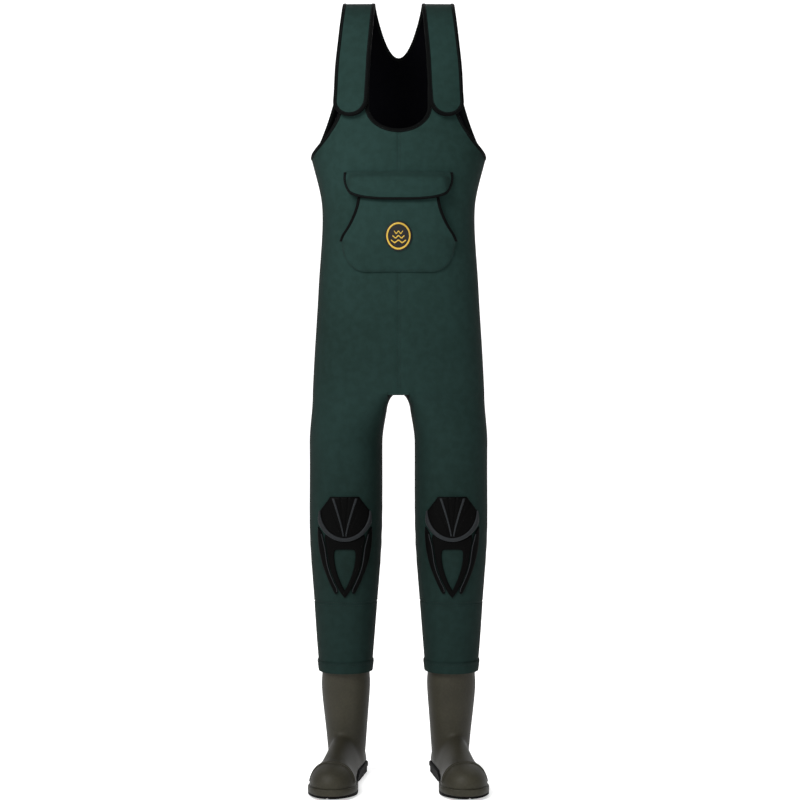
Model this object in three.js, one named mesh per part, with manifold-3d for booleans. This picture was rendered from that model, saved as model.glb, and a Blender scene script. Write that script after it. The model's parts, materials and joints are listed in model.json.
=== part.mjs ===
// Neoprene chest waders with bonded rubber boots, as an assembly of separate pieces.
// Millimetres, +Z up, the front faces -Y and the wearer's left is +X.
// The origin is on the floor plane, in the middle of the object's footprint.

import * as THREE from 'three';
import * as BufferGeometryUtils from 'three/addons/utils/BufferGeometryUtils.js';
import Module from 'manifold-3d';

const wasm = await Module();
wasm.setup();

// ---------------------------------------------------------------- driving dimensions

// heights, stacked from the floor
const legHemHeight = 222;
const shinLength = 278;
const thighLength = 295;
const crotchToWaist = 215;
const waistToChest = 165;
const chestToArmhole = 109;
const armholeToShoulder = 318;

// girth of the body, as half widths and depths
const hipHalfWidth = 177.5;
const waistHalfWidth = 166;
const chestHalfWidth = 158.5;
const armholeHalfWidth = 181.5;
const hipDepthFront = 102;
const seatDepthFront = 114;
const waistDepthFront = 112;
const chestDepthFront = 112;
const hipDepthBack = 108;
const seatDepthBack = 120;
const waistDepthBack = 108;
const chestDepthBack = 110;
const seatRise = 80;
const bodySquareness = 2.4;

// girth of the legs
const legCentreX = 109;
const hemHalfWidth = 54;
const calfHalfWidth = 65;
const kneeHalfWidth = 74;
const thighHalfWidth = 75.5;
const gussetHalfWidth = 22;
const hemHalfDepth = 62.5;
const calfHalfDepth = 70;
const kneeHalfDepth = 78;
const thighHalfDepth = 88;
const legSquareness = 2.15;

// fabric, trim and clearances
const fabric = 4.5;
const pocketFabric = 3;
const bindingWidth = 8;
const bindingWrap = 0.8;
const tape = 1.2;
const gap = 0.3;
const skinLift = 0.8;
const hemBandHeight = 22;

// where the garment bends
const hipFoldDrop = 50;
const hipBandDepth = 105;
const kneeFoldReach = 95;

// bib, neckline and straps
const neckHalfWidth = 60;
const neckDepth = 45;
const neckRise = 86;
const tabHalfWidth = 30;
const tabHeight = 60;
const armholeCurve = 1.65;
const backNeckDepth = 92;
const backNeckCurve = 0.5;
const backArmholeCurve = 2;
const backSpringDrop = 182;
const shoulderY = 10;
const strapHalfWidth = 33.75;
const strapCrestX = 81.5;
const strapEndX = 93.5;
const strapEndDrop = 20;
const strapTapeMargin = 4;

// hand-warmer pocket and its flap
const pocketBottomRise = 242;
const pocketHeight = 185;
const pocketOpeningHalfWidth = 76;
const pocketHalfWidth = 112;
const pocketOpeningLow = 62;
const pocketOpeningHigh = 152;
const pocketCornerHalfWidth = 65;
const openingCornerDrop = 5;
const openingTrim = 6;
const pocketRoom = 13;
const pocketFullRise = 70;
const pocketTopShare = 0.4;
const pocketFlatFrom = 102;
const openingEase = 30;
const flapHalfWidth = 108;
const flapDrop = 59;
const flapOverhang = 16;
const flapInset = 5;
const flapSideRun = 24;
const flapTapeRise = 12;
const flapTapeHeight = 18;
const flapTapeHalfWidth = 28;
const badgeRise = 70;
const badgeHalfWidth = 24;
const badgeHalfHeight = 30;

// knee pads
const kneeCapHalfWidth = 49;
const kneeCapTopHalfWidth = 25;
const kneeCapShoulder = 55;
const kneeCapTop = 84;
const kneePiping = 5;
const kneePadThickness = 5;
const kneeGuardThickness = 3;
const kneeGuardTip = 123;
const kneeGuardHalfWidth = 33;
const kneeBladeHalfWidth = 53;
const kneeBladeEndHalfWidth = 20;
const kneeBladeTip = 110;
const kneeBladeWidth = 11;
const kneeBladeTopDrop = 31;
const kneeBladeCurve = 2.2;
const kneeGuardTopDrop = 10;
const kneeGuardPinch = 0.35;
const kneeGuardFall = 1.15;
const kneeGuardHoleWidth = 0.62;
const kneeGuardHoleHeight = 0.74;
const kneeGuardHoleDrop = 0.36;

// boots
const bootTopHeight = 300;
const bootShaftHalfWidth = 47.5;
const bootShaftHalfDepth = 56;
const bootAnkleHalfWidth = 43;
const bootAnkleHalfDepth = 54;
const bootWall = 3.5;
const toeOutDegrees = 10;
const toeReach = 214;
const heelReach = 72;
const ballHalfWidth = 47;
const heelHalfWidth = 36;
const soleThickness = 9;
const heelHeight = 13;
const soleLedge = 2;
const insoleThickness = 4;
const bootFloor = 2;
const toeDriftIn = 8;
const ankleHeight = 105;
const shaftLean = 10;

// ---------------------------------------------------------------- derived places

const kneeHeight = legHemHeight + shinLength;
const crotchHeight = kneeHeight + thighLength;
const waistHeight = crotchHeight + crotchToWaist;
const chestHeight = waistHeight + waistToChest;
const armholeHeight = chestHeight + chestToArmhole;
const shoulderHeight = armholeHeight + armholeToShoulder;
const frontSpring = armholeHeight + neckRise;
const backSpring = shoulderHeight - backSpringDrop;
const tabTop = frontSpring + tabHeight;
const tabOuter = neckHalfWidth + 2 * tabHalfWidth;
const hipBandBottom = crotchHeight - hipBandDepth;
const kneeBandTop = kneeHeight + kneeFoldReach;
const kneeBandBottom = kneeHeight - kneeFoldReach;
const pocketBottom = crotchHeight + pocketBottomRise;
const pocketTop = pocketBottom + pocketHeight;
const flapTop = pocketTop + flapOverhang;

// ---------------------------------------------------------------- materials

function finish(color, roughness) {
  return new THREE.MeshStandardMaterial({ color, roughness, metalness: 0 });
}

const bodyNeoprene = () => finish(0x24383a, 0.85);
const legNeoprene = () => finish(0x213532, 0.85);
const binding = () => finish(0x0d1214, 0.8);
const hookTape = () => finish(0x101213, 0.9);
const padRubber = () => finish(0x131517, 0.7);
const padPiping = () => finish(0x34373a, 0.6);
const bootRubber = () => finish(0x413f39, 0.6);
const soleRubber = () => finish(0x17171a, 0.75);
const badgeThread = () => finish(0xc9a53a, 0.6);
const insoleFoam = () => finish(0x2a2a2c, 0.9);

// ---------------------------------------------------------------- small helpers

const clamp01 = (value) => Math.min(1, Math.max(0, value));
const ease = (value) => clamp01(value) ** 2 * (3 - 2 * clamp01(value));
const mix = (from, to, share) => from + (to - from) * share;
const radians = THREE.MathUtils.degToRad;

// A smooth curve through a few [place, value] stations, level beyond both ends.
function smoothThrough(stations, place) {
  const last = stations.length - 1;
  if (place <= stations[0][0]) return stations[0][1];
  if (place >= stations[last][0]) return stations[last][1];
  const right = stations.findIndex((station) => station[0] > place);
  const slopeAt = (index) => {
    const before = stations[Math.max(0, index - 1)];
    const after = stations[Math.min(last, index + 1)];
    return (after[1] - before[1]) / (after[0] - before[0]);
  };
  const [fromPlace, fromValue] = stations[right - 1];
  const [toPlace, toValue] = stations[right];
  const span = toPlace - fromPlace;
  const t = (place - fromPlace) / span;
  const bend = t * (1 - t) * span;
  const straight = (toValue - fromValue) / span;
  const startPull = bend * (1 - t) * (slopeAt(right - 1) - straight);
  const endPull = bend * t * (straight - slopeAt(right));
  return mix(fromValue, toValue, t) + startPull + endPull;
}

function evenly(from, to, count) {
  return Array.from({ length: count + 1 }, (_, index) => mix(from, to, index / count));
}

function signedVolume(positions, index) {
  let volume = 0;
  const corner = (id) => new THREE.Vector3().fromArray(positions, id * 3);
  for (let face = 0; face < index.length; face += 3) {
    const [a, b, c] = [0, 1, 2].map((step) => corner(index[face + step]));
    volume += a.dot(b.cross(c)) / 6;
  }
  return volume;
}

// Points and faces become a geometry whose faces point out.
function outwardGeometry(positions, index) {
  if (signedVolume(positions, index) < 0) index.reverse();
  const geometry = new THREE.BufferGeometry();
  geometry.setAttribute('position', new THREE.Float32BufferAttribute(positions, 3));
  geometry.setIndex(index);
  geometry.computeVertexNormals();
  return geometry;
}

// A sheet with thickness: pointAt(row, column, layer) gives the outer skin for layer 0
// and the inner skin for layer 1. A closed sheet joins its last column to its first.
function sheetSolid(rowCount, columnCount, pointAt, closed = false) {
  const positions = [];
  const index = [];
  const stride = closed ? columnCount : columnCount + 1;
  for (let layer = 0; layer < 2; layer += 1) {
    for (let row = 0; row <= rowCount; row += 1) {
      for (let column = 0; column < stride; column += 1) {
        positions.push(...pointAt(row, column, layer).toArray());
      }
    }
  }
  const id = (layer, row, column) => (layer * (rowCount + 1) + row) * stride + (column % stride);
  const quad = (a, b, c, d) => index.push(a, b, c, a, c, d);
  for (let row = 0; row < rowCount; row += 1) {
    for (let column = 0; column < columnCount; column += 1) {
      const [next, up] = [column + 1, row + 1];
      quad(id(0, row, column), id(0, row, next), id(0, up, next), id(0, up, column));
      quad(id(1, row, column), id(1, up, column), id(1, up, next), id(1, row, next));
    }
  }
  for (let column = 0; column < columnCount; column += 1) {
    const next = column + 1;
    quad(id(0, 0, column), id(1, 0, column), id(1, 0, next), id(0, 0, next));
    quad(id(0, rowCount, column), id(0, rowCount, next), id(1, rowCount, next), id(1, rowCount, column));
  }
  for (let row = 0; row < rowCount && !closed; row += 1) {
    const up = row + 1;
    const edge = columnCount;
    quad(id(0, row, 0), id(0, up, 0), id(1, up, 0), id(1, row, 0));
    quad(id(0, row, edge), id(1, row, edge), id(1, up, edge), id(0, up, edge));
  }
  return outwardGeometry(positions, index);
}

// A solid skinned over closed rings of points, capped at both ends.
function loftSolid(rings) {
  const positions = [];
  const index = [];
  const size = rings[0].length;
  rings.forEach((ring) => ring.forEach((point) => positions.push(...point.toArray())));
  for (let row = 0; row < rings.length - 1; row += 1) {
    for (let column = 0; column < size; column += 1) {
      const next = (column + 1) % size;
      const [a, b] = [row * size + column, row * size + next];
      index.push(a, b, b + size, a, b + size, a + size);
    }
  }
  [0, rings.length - 1].forEach((row) => {
    const middle = new THREE.Vector3();
    rings[row].forEach((point) => middle.addScaledVector(point, 1 / size));
    const centre = positions.length / 3;
    positions.push(...middle.toArray());
    for (let column = 0; column < size; column += 1) {
      const [a, b] = [row * size + column, row * size + ((column + 1) % size)];
      if (row === 0) index.push(b, a, centre);
      else index.push(a, b, centre);
    }
  });
  return outwardGeometry(positions, index);
}

function toSolid(geometry) {
  const bare = geometry.clone();
  bare.deleteAttribute('normal');
  bare.deleteAttribute('uv');
  const merged = BufferGeometryUtils.mergeVertices(bare, 1e-4);
  const vertProperties = new Float32Array(merged.attributes.position.array);
  const triVerts = new Uint32Array(merged.index.array);
  return new wasm.Manifold(new wasm.Mesh({ numProp: 3, vertProperties, triVerts }));
}

function toGeometry(solid) {
  const mesh = solid.getMesh();
  const geometry = new THREE.BufferGeometry();
  geometry.setAttribute('position', new THREE.Float32BufferAttribute(mesh.vertProperties, 3));
  geometry.setIndex(new THREE.Uint32BufferAttribute(mesh.triVerts, 1));
  geometry.computeVertexNormals();
  return geometry;
}

// The same piece on the wearer's right side.
function mirrored(geometry) {
  const positions = Array.from(geometry.attributes.position.array);
  for (let at = 0; at < positions.length; at += 3) positions[at] = -positions[at];
  return outwardGeometry(positions, Array.from(geometry.index.array));
}

// ---------------------------------------------------------------- the body's surface

const bodyHalfWidth = (z) => smoothThrough([
  [crotchHeight, hipHalfWidth],
  [waistHeight, waistHalfWidth],
  [chestHeight, chestHalfWidth],
  [armholeHeight, armholeHalfWidth],
], z);

const depthStations = (hip, seat, waist, chest) => [
  [crotchHeight, hip],
  [crotchHeight + seatRise, seat],
  [waistHeight, waist],
  [chestHeight, chest],
];
const frontDepths = depthStations(hipDepthFront, seatDepthFront, waistDepthFront, chestDepthFront);
const backDepths = depthStations(hipDepthBack, seatDepthBack, waistDepthBack, chestDepthBack);
const bodyDepth = (side, z) => smoothThrough(side < 0 ? frontDepths : backDepths, z);

// A point on the body: side is -1 for the front and 1 for the back. Above the spring
// height the sheet leans over on a quarter ellipse to the top of the shoulder.
function bodyPoint(side, x, z, offset) {
  const halfWidth = bodyHalfWidth(z);
  const share = Math.min(1, Math.abs(x) / halfWidth);
  const roundness = (1 - share ** bodySquareness) ** (1 / bodySquareness);
  const spring = side < 0 ? frontSpring : backSpring;
  if (z <= spring) {
    const depth = bodyDepth(side, z) + offset;
    return new THREE.Vector3(x * (1 + offset / halfWidth), side * depth * roundness, z);
  }
  const depth = bodyDepth(side, spring);
  const reach = depth - side * shoulderY;
  const rise = shoulderHeight - spring;
  const turn = Math.asin(Math.min(1, (z - spring) / rise));
  const normal = new THREE.Vector3(0, side * Math.cos(turn) / reach, Math.sin(turn) / rise).normalize();
  const upright = Math.cos(turn) ** 2;
  const bowl = depth * (1 - roundness) * upright;
  const spot = new THREE.Vector3(
    x * (1 + (offset / halfWidth) * upright),
    shoulderY + side * reach * Math.cos(turn),
    spring + rise * Math.sin(turn),
  );
  return spot.addScaledVector(normal, offset - bowl);
}

// Where x lies when it goes from one edge to the other in even steps round the body.
function alongGirth(from, to, share, z) {
  const halfWidth = bodyHalfWidth(z);
  const angleOf = (x) => Math.acos(Math.min(1, x / halfWidth) ** (bodySquareness / 2));
  const angle = mix(angleOf(from), angleOf(to), share);
  return halfWidth * Math.max(0, Math.cos(angle)) ** (2 / bodySquareness);
}

// ---------------------------------------------------------------- the garment's edges

// Each edge has a finished line and a cut line one binding width inside it.
const armholeCutHeight = armholeHeight - bindingWidth;

function armholeX(side, z, inset) {
  const low = inset > 0 ? armholeCutHeight : armholeHeight;
  const high = side < 0 ? frontSpring : shoulderHeight;
  const top = (side < 0 ? tabOuter : strapCrestX + strapHalfWidth) - inset;
  if (z <= low) return bodyHalfWidth(z);
  const curve = side < 0 ? armholeCurve : backArmholeCurve;
  return top + (bodyHalfWidth(low) - top) * (1 - clamp01((z - low) / (high - low))) ** curve;
}

const neckPoint = (angle, inset) => [
  (neckHalfWidth + inset) * Math.sin(angle),
  frontSpring - (neckDepth + inset) * Math.cos(angle),
];

const backNeckX = (z, inset) => {
  const low = shoulderHeight - backNeckDepth - inset;
  return (strapCrestX - strapHalfWidth + inset) * clamp01((z - low) / (shoulderHeight - low)) ** backNeckCurve;
};

const neckAngles = evenly(0, Math.PI / 2, 6);
const tabRows = evenly(frontSpring, tabTop, 2).slice(1);
const lowerRows = evenly(crotchHeight + gap / 2, armholeCutHeight, 9);

// Heights of the bib's grid: the body, the armhole, the neckline, then the tab.
const bibRows = [
  ...lowerRows.map((z) => ({ z, inner: 0 })),
  ...evenly(armholeCutHeight, neckPoint(0, bindingWidth)[1], 3).slice(1, -1).map((z) => ({ z, inner: 0 })),
  ...neckAngles.map((angle) => neckPoint(angle, bindingWidth)).map(([inner, z]) => ({ z, inner })),
  ...tabRows.map((z) => ({ z, inner: neckHalfWidth + bindingWidth })),
].map((row) => ({ ...row, outer: armholeX(-1, row.z, bindingWidth) }));

// Heights of the back's grid: the body, the armhole, then the neckline over the shoulder.
const backNeckLow = shoulderHeight - backNeckDepth - bindingWidth;
const shoulderTurns = evenly(Math.asin((backNeckLow - backSpring) / backSpringDrop), Math.PI / 2, 8);
const shoulderRows = shoulderTurns.map((turn) => backSpring + backSpringDrop * Math.sin(turn));
const backRows = [
  ...lowerRows,
  ...evenly(armholeCutHeight, backNeckLow, 7).slice(1, -1),
  ...shoulderRows,
].map((z) => ({ z, inner: backNeckX(z, bindingWidth), outer: armholeX(1, z, bindingWidth) }));

const panelColumns = 7;

// One half of the front or the back, from the crotch seam up, clear of its neighbours.
function bodyPanel(side, rows) {
  return sheetSolid(rows.length - 1, panelColumns, (row, column, layer) => {
    const { z, inner, outer } = rows[row];
    const x = alongGirth(inner, outer, column / panelColumns, z);
    const point = bodyPoint(side, x, z, layer ? -fabric : 0);
    return point.add(new THREE.Vector3(gap / 2, side * gap / 2, 0));
  });
}

// A folded tape over an edge. Each stop gives the cut edge and the finished edge.
function edgeBinding(stops, thickness = fabric) {
  return sheetSolid(stops.length - 1, 1, (row, column, layer) => {
    const offset = layer ? -thickness - bindingWrap : bindingWrap;
    return stops[row](column, offset);
  });
}

// The share of the way from cut edge to finished edge that leaves the clearance.
const bindingFrom = (column) => (column ? 1 : 3 * gap / bindingWidth);

function bodyBindingStop(side, cut, finished, shiftX) {
  return (column, offset) => {
    const share = bindingFrom(column);
    const x = mix(cut[0], finished[0], share);
    const z = mix(cut[1], finished[1], share);
    return bodyPoint(side, x, z, offset).add(new THREE.Vector3(shiftX, 0, 0));
  };
}

function armholeStops(side, rows) {
  const high = side < 0 ? frontSpring : shoulderHeight;
  return rows.filter(({ z }) => z >= armholeCutHeight).map(({ z, outer }) => {
    const share = clamp01((z - armholeCutHeight) / (high - armholeCutHeight));
    const finishedZ = Math.max(z, mix(armholeHeight, high, share));
    return bodyBindingStop(side, [outer, z], [armholeX(side, finishedZ, 0), finishedZ], gap / 2);
  });
}

function armholeBinding() {
  const front = armholeStops(-1, bibRows).reverse();
  const back = armholeStops(1, backRows).slice(1);
  return edgeBinding([...front, ...back]);
}

function neckBinding() {
  const half = [
    ...neckAngles.map((angle) => [neckPoint(angle, bindingWidth), neckPoint(angle, 0)]),
    ...tabRows.map((z) => [[neckHalfWidth + bindingWidth, z], [neckHalfWidth, z]]),
  ];
  const flip = ([cut, finished]) => [[-cut[0], cut[1]], [-finished[0], finished[1]]];
  const whole = [...half.slice(1).reverse().map(flip), ...half];
  return edgeBinding(whole.map(([cut, finished]) => bodyBindingStop(-1, cut, finished, 0)));
}

function backNeckBinding() {
  const finishedLow = shoulderHeight - backNeckDepth;
  const half = shoulderRows.map((z) => {
    const share = (z - backNeckLow) / (shoulderHeight - backNeckLow);
    const finishedZ = mix(finishedLow, shoulderHeight, share);
    return [[backNeckX(z, bindingWidth), z], [backNeckX(finishedZ, 0), finishedZ]];
  });
  const flip = ([cut, finished]) => [[-cut[0], cut[1]], [-finished[0], finished[1]]];
  const whole = [...half.slice(1).reverse().map(flip), ...half];
  const stops = whole.map(([cut, finished]) => bodyBindingStop(1, cut, finished, 0));
  const clear = new THREE.Vector3(0, gap / 2, 0);
  return edgeBinding(stops.map((stop) => (column, offset) => stop(column, offset).add(clear)));
}

// ---------------------------------------------------------------- the legs' surface

const legProfile = (values) => [
  [legHemHeight, values[0]],
  [legHemHeight + shinLength / 2, values[1]],
  [kneeHeight, values[2]],
  [hipBandBottom, values[3]],
];
const legWidths = legProfile([hemHalfWidth, calfHalfWidth, kneeHalfWidth, thighHalfWidth]);
const legDepths = legProfile([hemHalfDepth, calfHalfDepth, kneeHalfDepth, thighHalfDepth]);

// A point on the left leg. Angle 0 is the outside, a quarter turn back is the front.
// Near the crotch the oval opens into half of the body's section.
function legPoint(angle, z, offset) {
  const [c, s] = [Math.cos(angle), Math.sin(angle)];
  const power = 2 / legSquareness;
  const width = smoothThrough(legWidths, z) + offset;
  const depth = smoothThrough(legDepths, z) + offset;
  const oval = new THREE.Vector3(
    legCentreX + width * Math.sign(c) * Math.abs(c) ** power,
    depth * Math.sign(s) * Math.abs(s) ** power,
    z,
  );
  const opening = ease((z - hipBandBottom) / hipBandDepth);
  if (opening === 0) return oval;
  const outerX = hipHalfWidth + offset;
  const innerX = gussetHalfWidth - offset;
  const x = mix(innerX, outerX, (1 + c) / 2);
  const bodyDepthHere = bodyDepth(Math.sign(s) || 1, crotchHeight) + offset;
  const roundness = (1 - (x / outerX) ** bodySquareness) ** (1 / bodySquareness);
  const corner = c < 0 ? (1 - Math.abs(c) ** 6) ** (1 / 6) : 1;
  const halfBody = new THREE.Vector3(x, Math.sign(s) * bodyDepthHere * roundness * corner, z);
  return oval.lerp(halfBody, opening);
}

const legColumns = 20;

function legTube(from, to, rows) {
  const heights = evenly(from + gap / 2, to - gap / 2, rows);
  return sheetSolid(rows, legColumns, (row, column, layer) => (
    legPoint((column / legColumns) * 2 * Math.PI, heights[row], layer ? -fabric : 0)
  ), true);
}

// Half of a leg: the front or the back panel between the outseam and the inseam.
function legPanel(side, from, to, rows) {
  const heights = evenly(from + gap / 2, to - gap / 2, rows);
  const columns = legColumns / 2;
  return sheetSolid(rows, columns, (row, column, layer) => {
    const point = legPoint(side * (column / columns) * Math.PI, heights[row], layer ? -fabric : 0);
    return point.add(new THREE.Vector3(0, side * gap / 2, 0));
  });
}

// A turned and stitched hem outside the bottom of the leg.
function legHemBand() {
  const heights = evenly(legHemHeight + gap / 2, legHemHeight + hemBandHeight, 2);
  return sheetSolid(2, legColumns, (row, column, layer) => (
    legPoint((column / legColumns) * 2 * Math.PI, heights[row], layer ? skinLift : skinLift + tape)
  ), true);
}

function crotchGusset() {
  const halfWidth = gussetHalfWidth - 2 * gap;
  const front = -hipDepthFront + gap;
  const back = hipDepthBack - gap;
  return sheetSolid(8, 2, (row, column, layer) => new THREE.Vector3(
    mix(-halfWidth, halfWidth, column / 2),
    mix(front, back, row / 8),
    crotchHeight - gap / 2 - (layer ? fabric : 0),
  ));
}

// ---------------------------------------------------------------- straps

const strapSpace = 2 * tape + 5 * gap;
const strapEndZ = frontSpring - strapEndDrop + strapHalfWidth;
const strapRise = shoulderHeight - frontSpring;
const strapCentreX = (z) => mix(strapEndX, strapCrestX, clamp01((z - frontSpring) / strapRise));
const strapTurn = (z) => Math.asin(clamp01((z - frontSpring) / strapRise));

// The strap lies over the tab at its end and comes down to the shoulder's skin at its crest.
const strapLiftFrom = radians(25);
const strapLiftOver = radians(55);

function strapPoint(x, z, offset) {
  const lift = (strapSpace + fabric) * (1 - ease((strapTurn(z) - strapLiftFrom) / strapLiftOver));
  return bodyPoint(-1, x, z, lift + offset).add(new THREE.Vector3(0, -gap / 2, 0));
}

const endTurn = Math.asin((strapEndZ - frontSpring) / strapRise);
const strapTurns = evenly(endTurn, Math.PI / 2, 12);
const strapHeights = strapTurns.map((turn) => frontSpring + strapRise * Math.sin(turn));
const endAngles = evenly(radians(15), radians(90), 5);

function strapPanel() {
  const radius = strapHalfWidth - bindingWidth;
  const rounded = endAngles.map((angle) => [strapEndZ - radius * Math.cos(angle), radius * Math.sin(angle)]);
  const rows = [...rounded, ...strapHeights.slice(1).map((z) => [z, radius])];
  return sheetSolid(rows.length - 1, 6, (row, column, layer) => {
    const [z, halfWidth] = rows[row];
    const x = strapCentreX(z) + mix(-halfWidth, halfWidth, column / 6);
    return strapPoint(x, z, layer ? -fabric : 0);
  });
}

function strapBinding() {
  const round = [...endAngles.map((angle) => -angle).reverse(), 0, ...endAngles];
  const runs = strapHeights.slice(1);
  const stop = (edge) => (column, offset) => {
    const radius = mix(strapHalfWidth - bindingWidth, strapHalfWidth, bindingFrom(column));
    const [x, z] = edge(radius);
    return strapPoint(x, z, offset);
  };
  const side = (sign) => runs.map((z) => stop((radius) => [strapCentreX(z) + sign * radius, z]));
  const turn = round.map((angle) => stop((radius) => {
    const z = strapEndZ - radius * Math.cos(angle);
    return [strapCentreX(z) + radius * Math.sin(angle), z];
  }));
  return edgeBinding([...side(-1).reverse(), ...turn, ...side(1)]);
}

// A patch of hook or loop tape in the space between the tab and the strap.
function strapTape(offset) {
  const heights = evenly(frontSpring + bindingWidth, tabTop - strapTapeMargin / 2, 4);
  const halfWidth = tabHalfWidth - bindingWidth - strapTapeMargin;
  return sheetSolid(4, 6, (row, column, layer) => {
    const x = neckHalfWidth + tabHalfWidth + mix(-halfWidth, halfWidth, column / 6);
    return bodyPoint(-1, x, heights[row], offset + (layer ? 0 : tape)).add(new THREE.Vector3(0, -gap / 2, 0));
  });
}

// ---------------------------------------------------------------- pocket, flap and badge

const pocketOpeningBottom = pocketBottom + pocketOpeningLow;
const pocketOpeningTop = pocketBottom + pocketOpeningHigh;
const pocketCorner = pocketOpeningBottom - openingCornerDrop;

// Half the width of the pouch: a round lower corner, a hollow slanting opening, a neck.
function pouchEdgeX(z) {
  if (z >= pocketOpeningTop) return pocketOpeningHalfWidth;
  if (z >= pocketCorner) {
    const share = (pocketOpeningTop - z) / (pocketOpeningTop - pocketOpeningBottom);
    return pocketOpeningHalfWidth + (pocketHalfWidth - pocketOpeningHalfWidth) * Math.min(1, share) ** 2;
  }
  const drop = (pocketCorner - z) / (pocketCorner - pocketBottom);
  return mix(pocketCornerHalfWidth, pocketHalfWidth, Math.sqrt(Math.max(0, 1 - drop ** 2)));
}

// How far the pouch's inner skin stands off the bib, so that hands go in at the sides.
function pouchStand(x, z) {
  const full = ease((z - pocketBottom) / pocketFullRise);
  const flatter = ease((z - pocketBottom - pocketFlatFrom) / (pocketHeight - pocketFlatFrom));
  const sewn = 1 - Math.min(1, Math.abs(x) / pouchEdgeX(z)) ** 4;
  const open = ease((z - pocketOpeningBottom + openingEase / 2) / openingEase);
  return skinLift + pocketRoom * full * mix(1, pocketTopShare, flatter) * mix(sewn, 1, open);
}

const pouchSkin = (x, z) => pouchStand(x, z) + pocketFabric;
const onBib = (x, z, offset) => bodyPoint(-1, x, z, offset).add(new THREE.Vector3(0, -gap / 2, 0));

const openingRows = evenly(pocketOpeningBottom, pocketOpeningTop, 5);
const cornerDepth = pocketCorner - pocketBottom;
const pouchRows = [
  ...evenly(radians(90), radians(12), 5).map((angle) => pocketCorner - cornerDepth * Math.sin(angle)),
  ...openingRows,
  ...evenly(pocketOpeningTop, pocketTop, 3).slice(1),
];

function pocketPouch() {
  return sheetSolid(pouchRows.length - 1, 12, (row, column, layer) => {
    const z = pouchRows[row];
    const trimmed = openingRows.includes(z) ? openingTrim : 0;
    const x = mix(-1, 1, column / 12) * (pouchEdgeX(z) - trimmed);
    return onBib(x, z, layer ? pouchStand(x, z) : pouchSkin(x, z));
  });
}

function pocketOpeningBinding() {
  const rows = [openingRows[0] + 2 * gap, ...openingRows.slice(1, -1), openingRows.at(-1) - 2 * gap];
  return sheetSolid(rows.length - 1, 1, (row, column, layer) => {
    const z = rows[row];
    const x = pouchEdgeX(z) - (column ? 0 : openingTrim - 2 * gap);
    return onBib(x, z, layer ? pouchStand(x, z) - bindingWrap / 2 : pouchSkin(x, z) + bindingWrap);
  });
}

const flapRows = evenly(0, radians(80), 8);

// The flap's outline is a wide rounded U. Angle 0 is the top corner, a quarter turn the tip.
function flapEdge(angle, inset) {
  return [
    (flapHalfWidth - inset) * Math.max(0, Math.cos(angle)) ** (2 / 3),
    flapTop - (flapDrop - inset) * Math.sin(angle) ** (2 / 3),
  ];
}

// The flap leaves the bib at its seam and lies over the pouch.
function flapLift(x, z) {
  const reach = Math.abs(x);
  const over = pouchSkin(Math.min(reach, pocketOpeningHalfWidth), Math.min(z, pocketTop)) + 2 * tape + 4 * gap;
  const beside = mix(over, 3 * skinLift, ease((reach - pocketOpeningHalfWidth - openingTrim) / flapSideRun));
  return mix(skinLift, beside, ease((flapTop - z) / flapOverhang));
}

function pocketFlap() {
  return sheetSolid(flapRows.length - 1, 12, (row, column, layer) => {
    const [edge, z] = flapEdge(flapRows[row], flapInset);
    const x = mix(-1, 1, column / 12) * edge;
    return onBib(x, z, flapLift(x, z) + (layer ? 0 : pocketFabric));
  });
}

function flapBinding() {
  const half = [...flapRows, Math.PI / 2];
  const whole = [...half.map((angle) => [angle, -1]), ...flapRows.slice().reverse().map((angle) => [angle, 1])];
  return sheetSolid(whole.length - 1, 1, (row, column, layer) => {
    const [angle, sign] = whole[row];
    const [x, z] = flapEdge(angle, column ? 0 : flapInset - 2 * gap);
    const lift = flapLift(x, z) + (layer ? -bindingWrap / 4 : pocketFabric + bindingWrap);
    return onBib(sign * x, z, lift);
  });
}

// A short tape behind the flap's lower edge, and its partner on the pouch.
function flapTape(lift) {
  const low = flapTop - flapDrop + flapTapeRise;
  const heights = evenly(low, low + flapTapeHeight, 2);
  return sheetSolid(2, 6, (row, column, layer) => {
    const x = mix(-flapTapeHalfWidth, flapTapeHalfWidth, column / 6);
    return onBib(x, heights[row], pouchSkin(x, heights[row]) + lift + (layer ? 0 : tape));
  });
}

// A generic oval patch in the middle of the pouch.
function chestBadge() {
  const centre = pocketBottom + badgeRise;
  const angles = evenly(radians(15), radians(165), 8);
  return sheetSolid(8, 6, (row, column, layer) => {
    const z = centre - badgeHalfHeight * Math.cos(angles[row]);
    const x = mix(-1, 1, column / 6) * badgeHalfWidth * Math.sin(angles[row]);
    return onBib(x, z, pouchSkin(x, z) + skinLift + (layer ? 0 : tape));
  });
}

// ---------------------------------------------------------------- knee pads

// A spot on the front of the left leg, x measured from the leg's centre line.
function shinPoint(x, z, offset) {
  const width = smoothThrough(legWidths, z);
  const angle = -Math.acos(Math.sign(x) * Math.min(1, Math.abs(x) / width) ** (legSquareness / 2));
  return legPoint(angle, z, offset);
}

const kneeCapArc = kneeCapShoulder + 1;
const capAngles = evenly(radians(15), radians(90), 6);

function kneeCap() {
  const arc = capAngles.map((angle) => [
    kneeHeight + kneeCapShoulder - kneeCapArc * Math.cos(angle),
    kneeCapHalfWidth * Math.sin(angle),
  ]);
  const top = evenly(0, 1, 2).slice(1).map((share) => [
    kneeHeight + mix(kneeCapShoulder, kneeCapTop, share),
    mix(kneeCapHalfWidth, kneeCapTopHalfWidth, share),
  ]);
  const rows = [...arc, ...top];
  return sheetSolid(rows.length - 1, 12, (row, column, layer) => {
    const [z, halfWidth] = rows[row];
    const x = mix(-halfWidth, halfWidth, column / 12);
    return shinPoint(x, z, layer ? skinLift : skinLift + kneePadThickness);
  });
}

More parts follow.
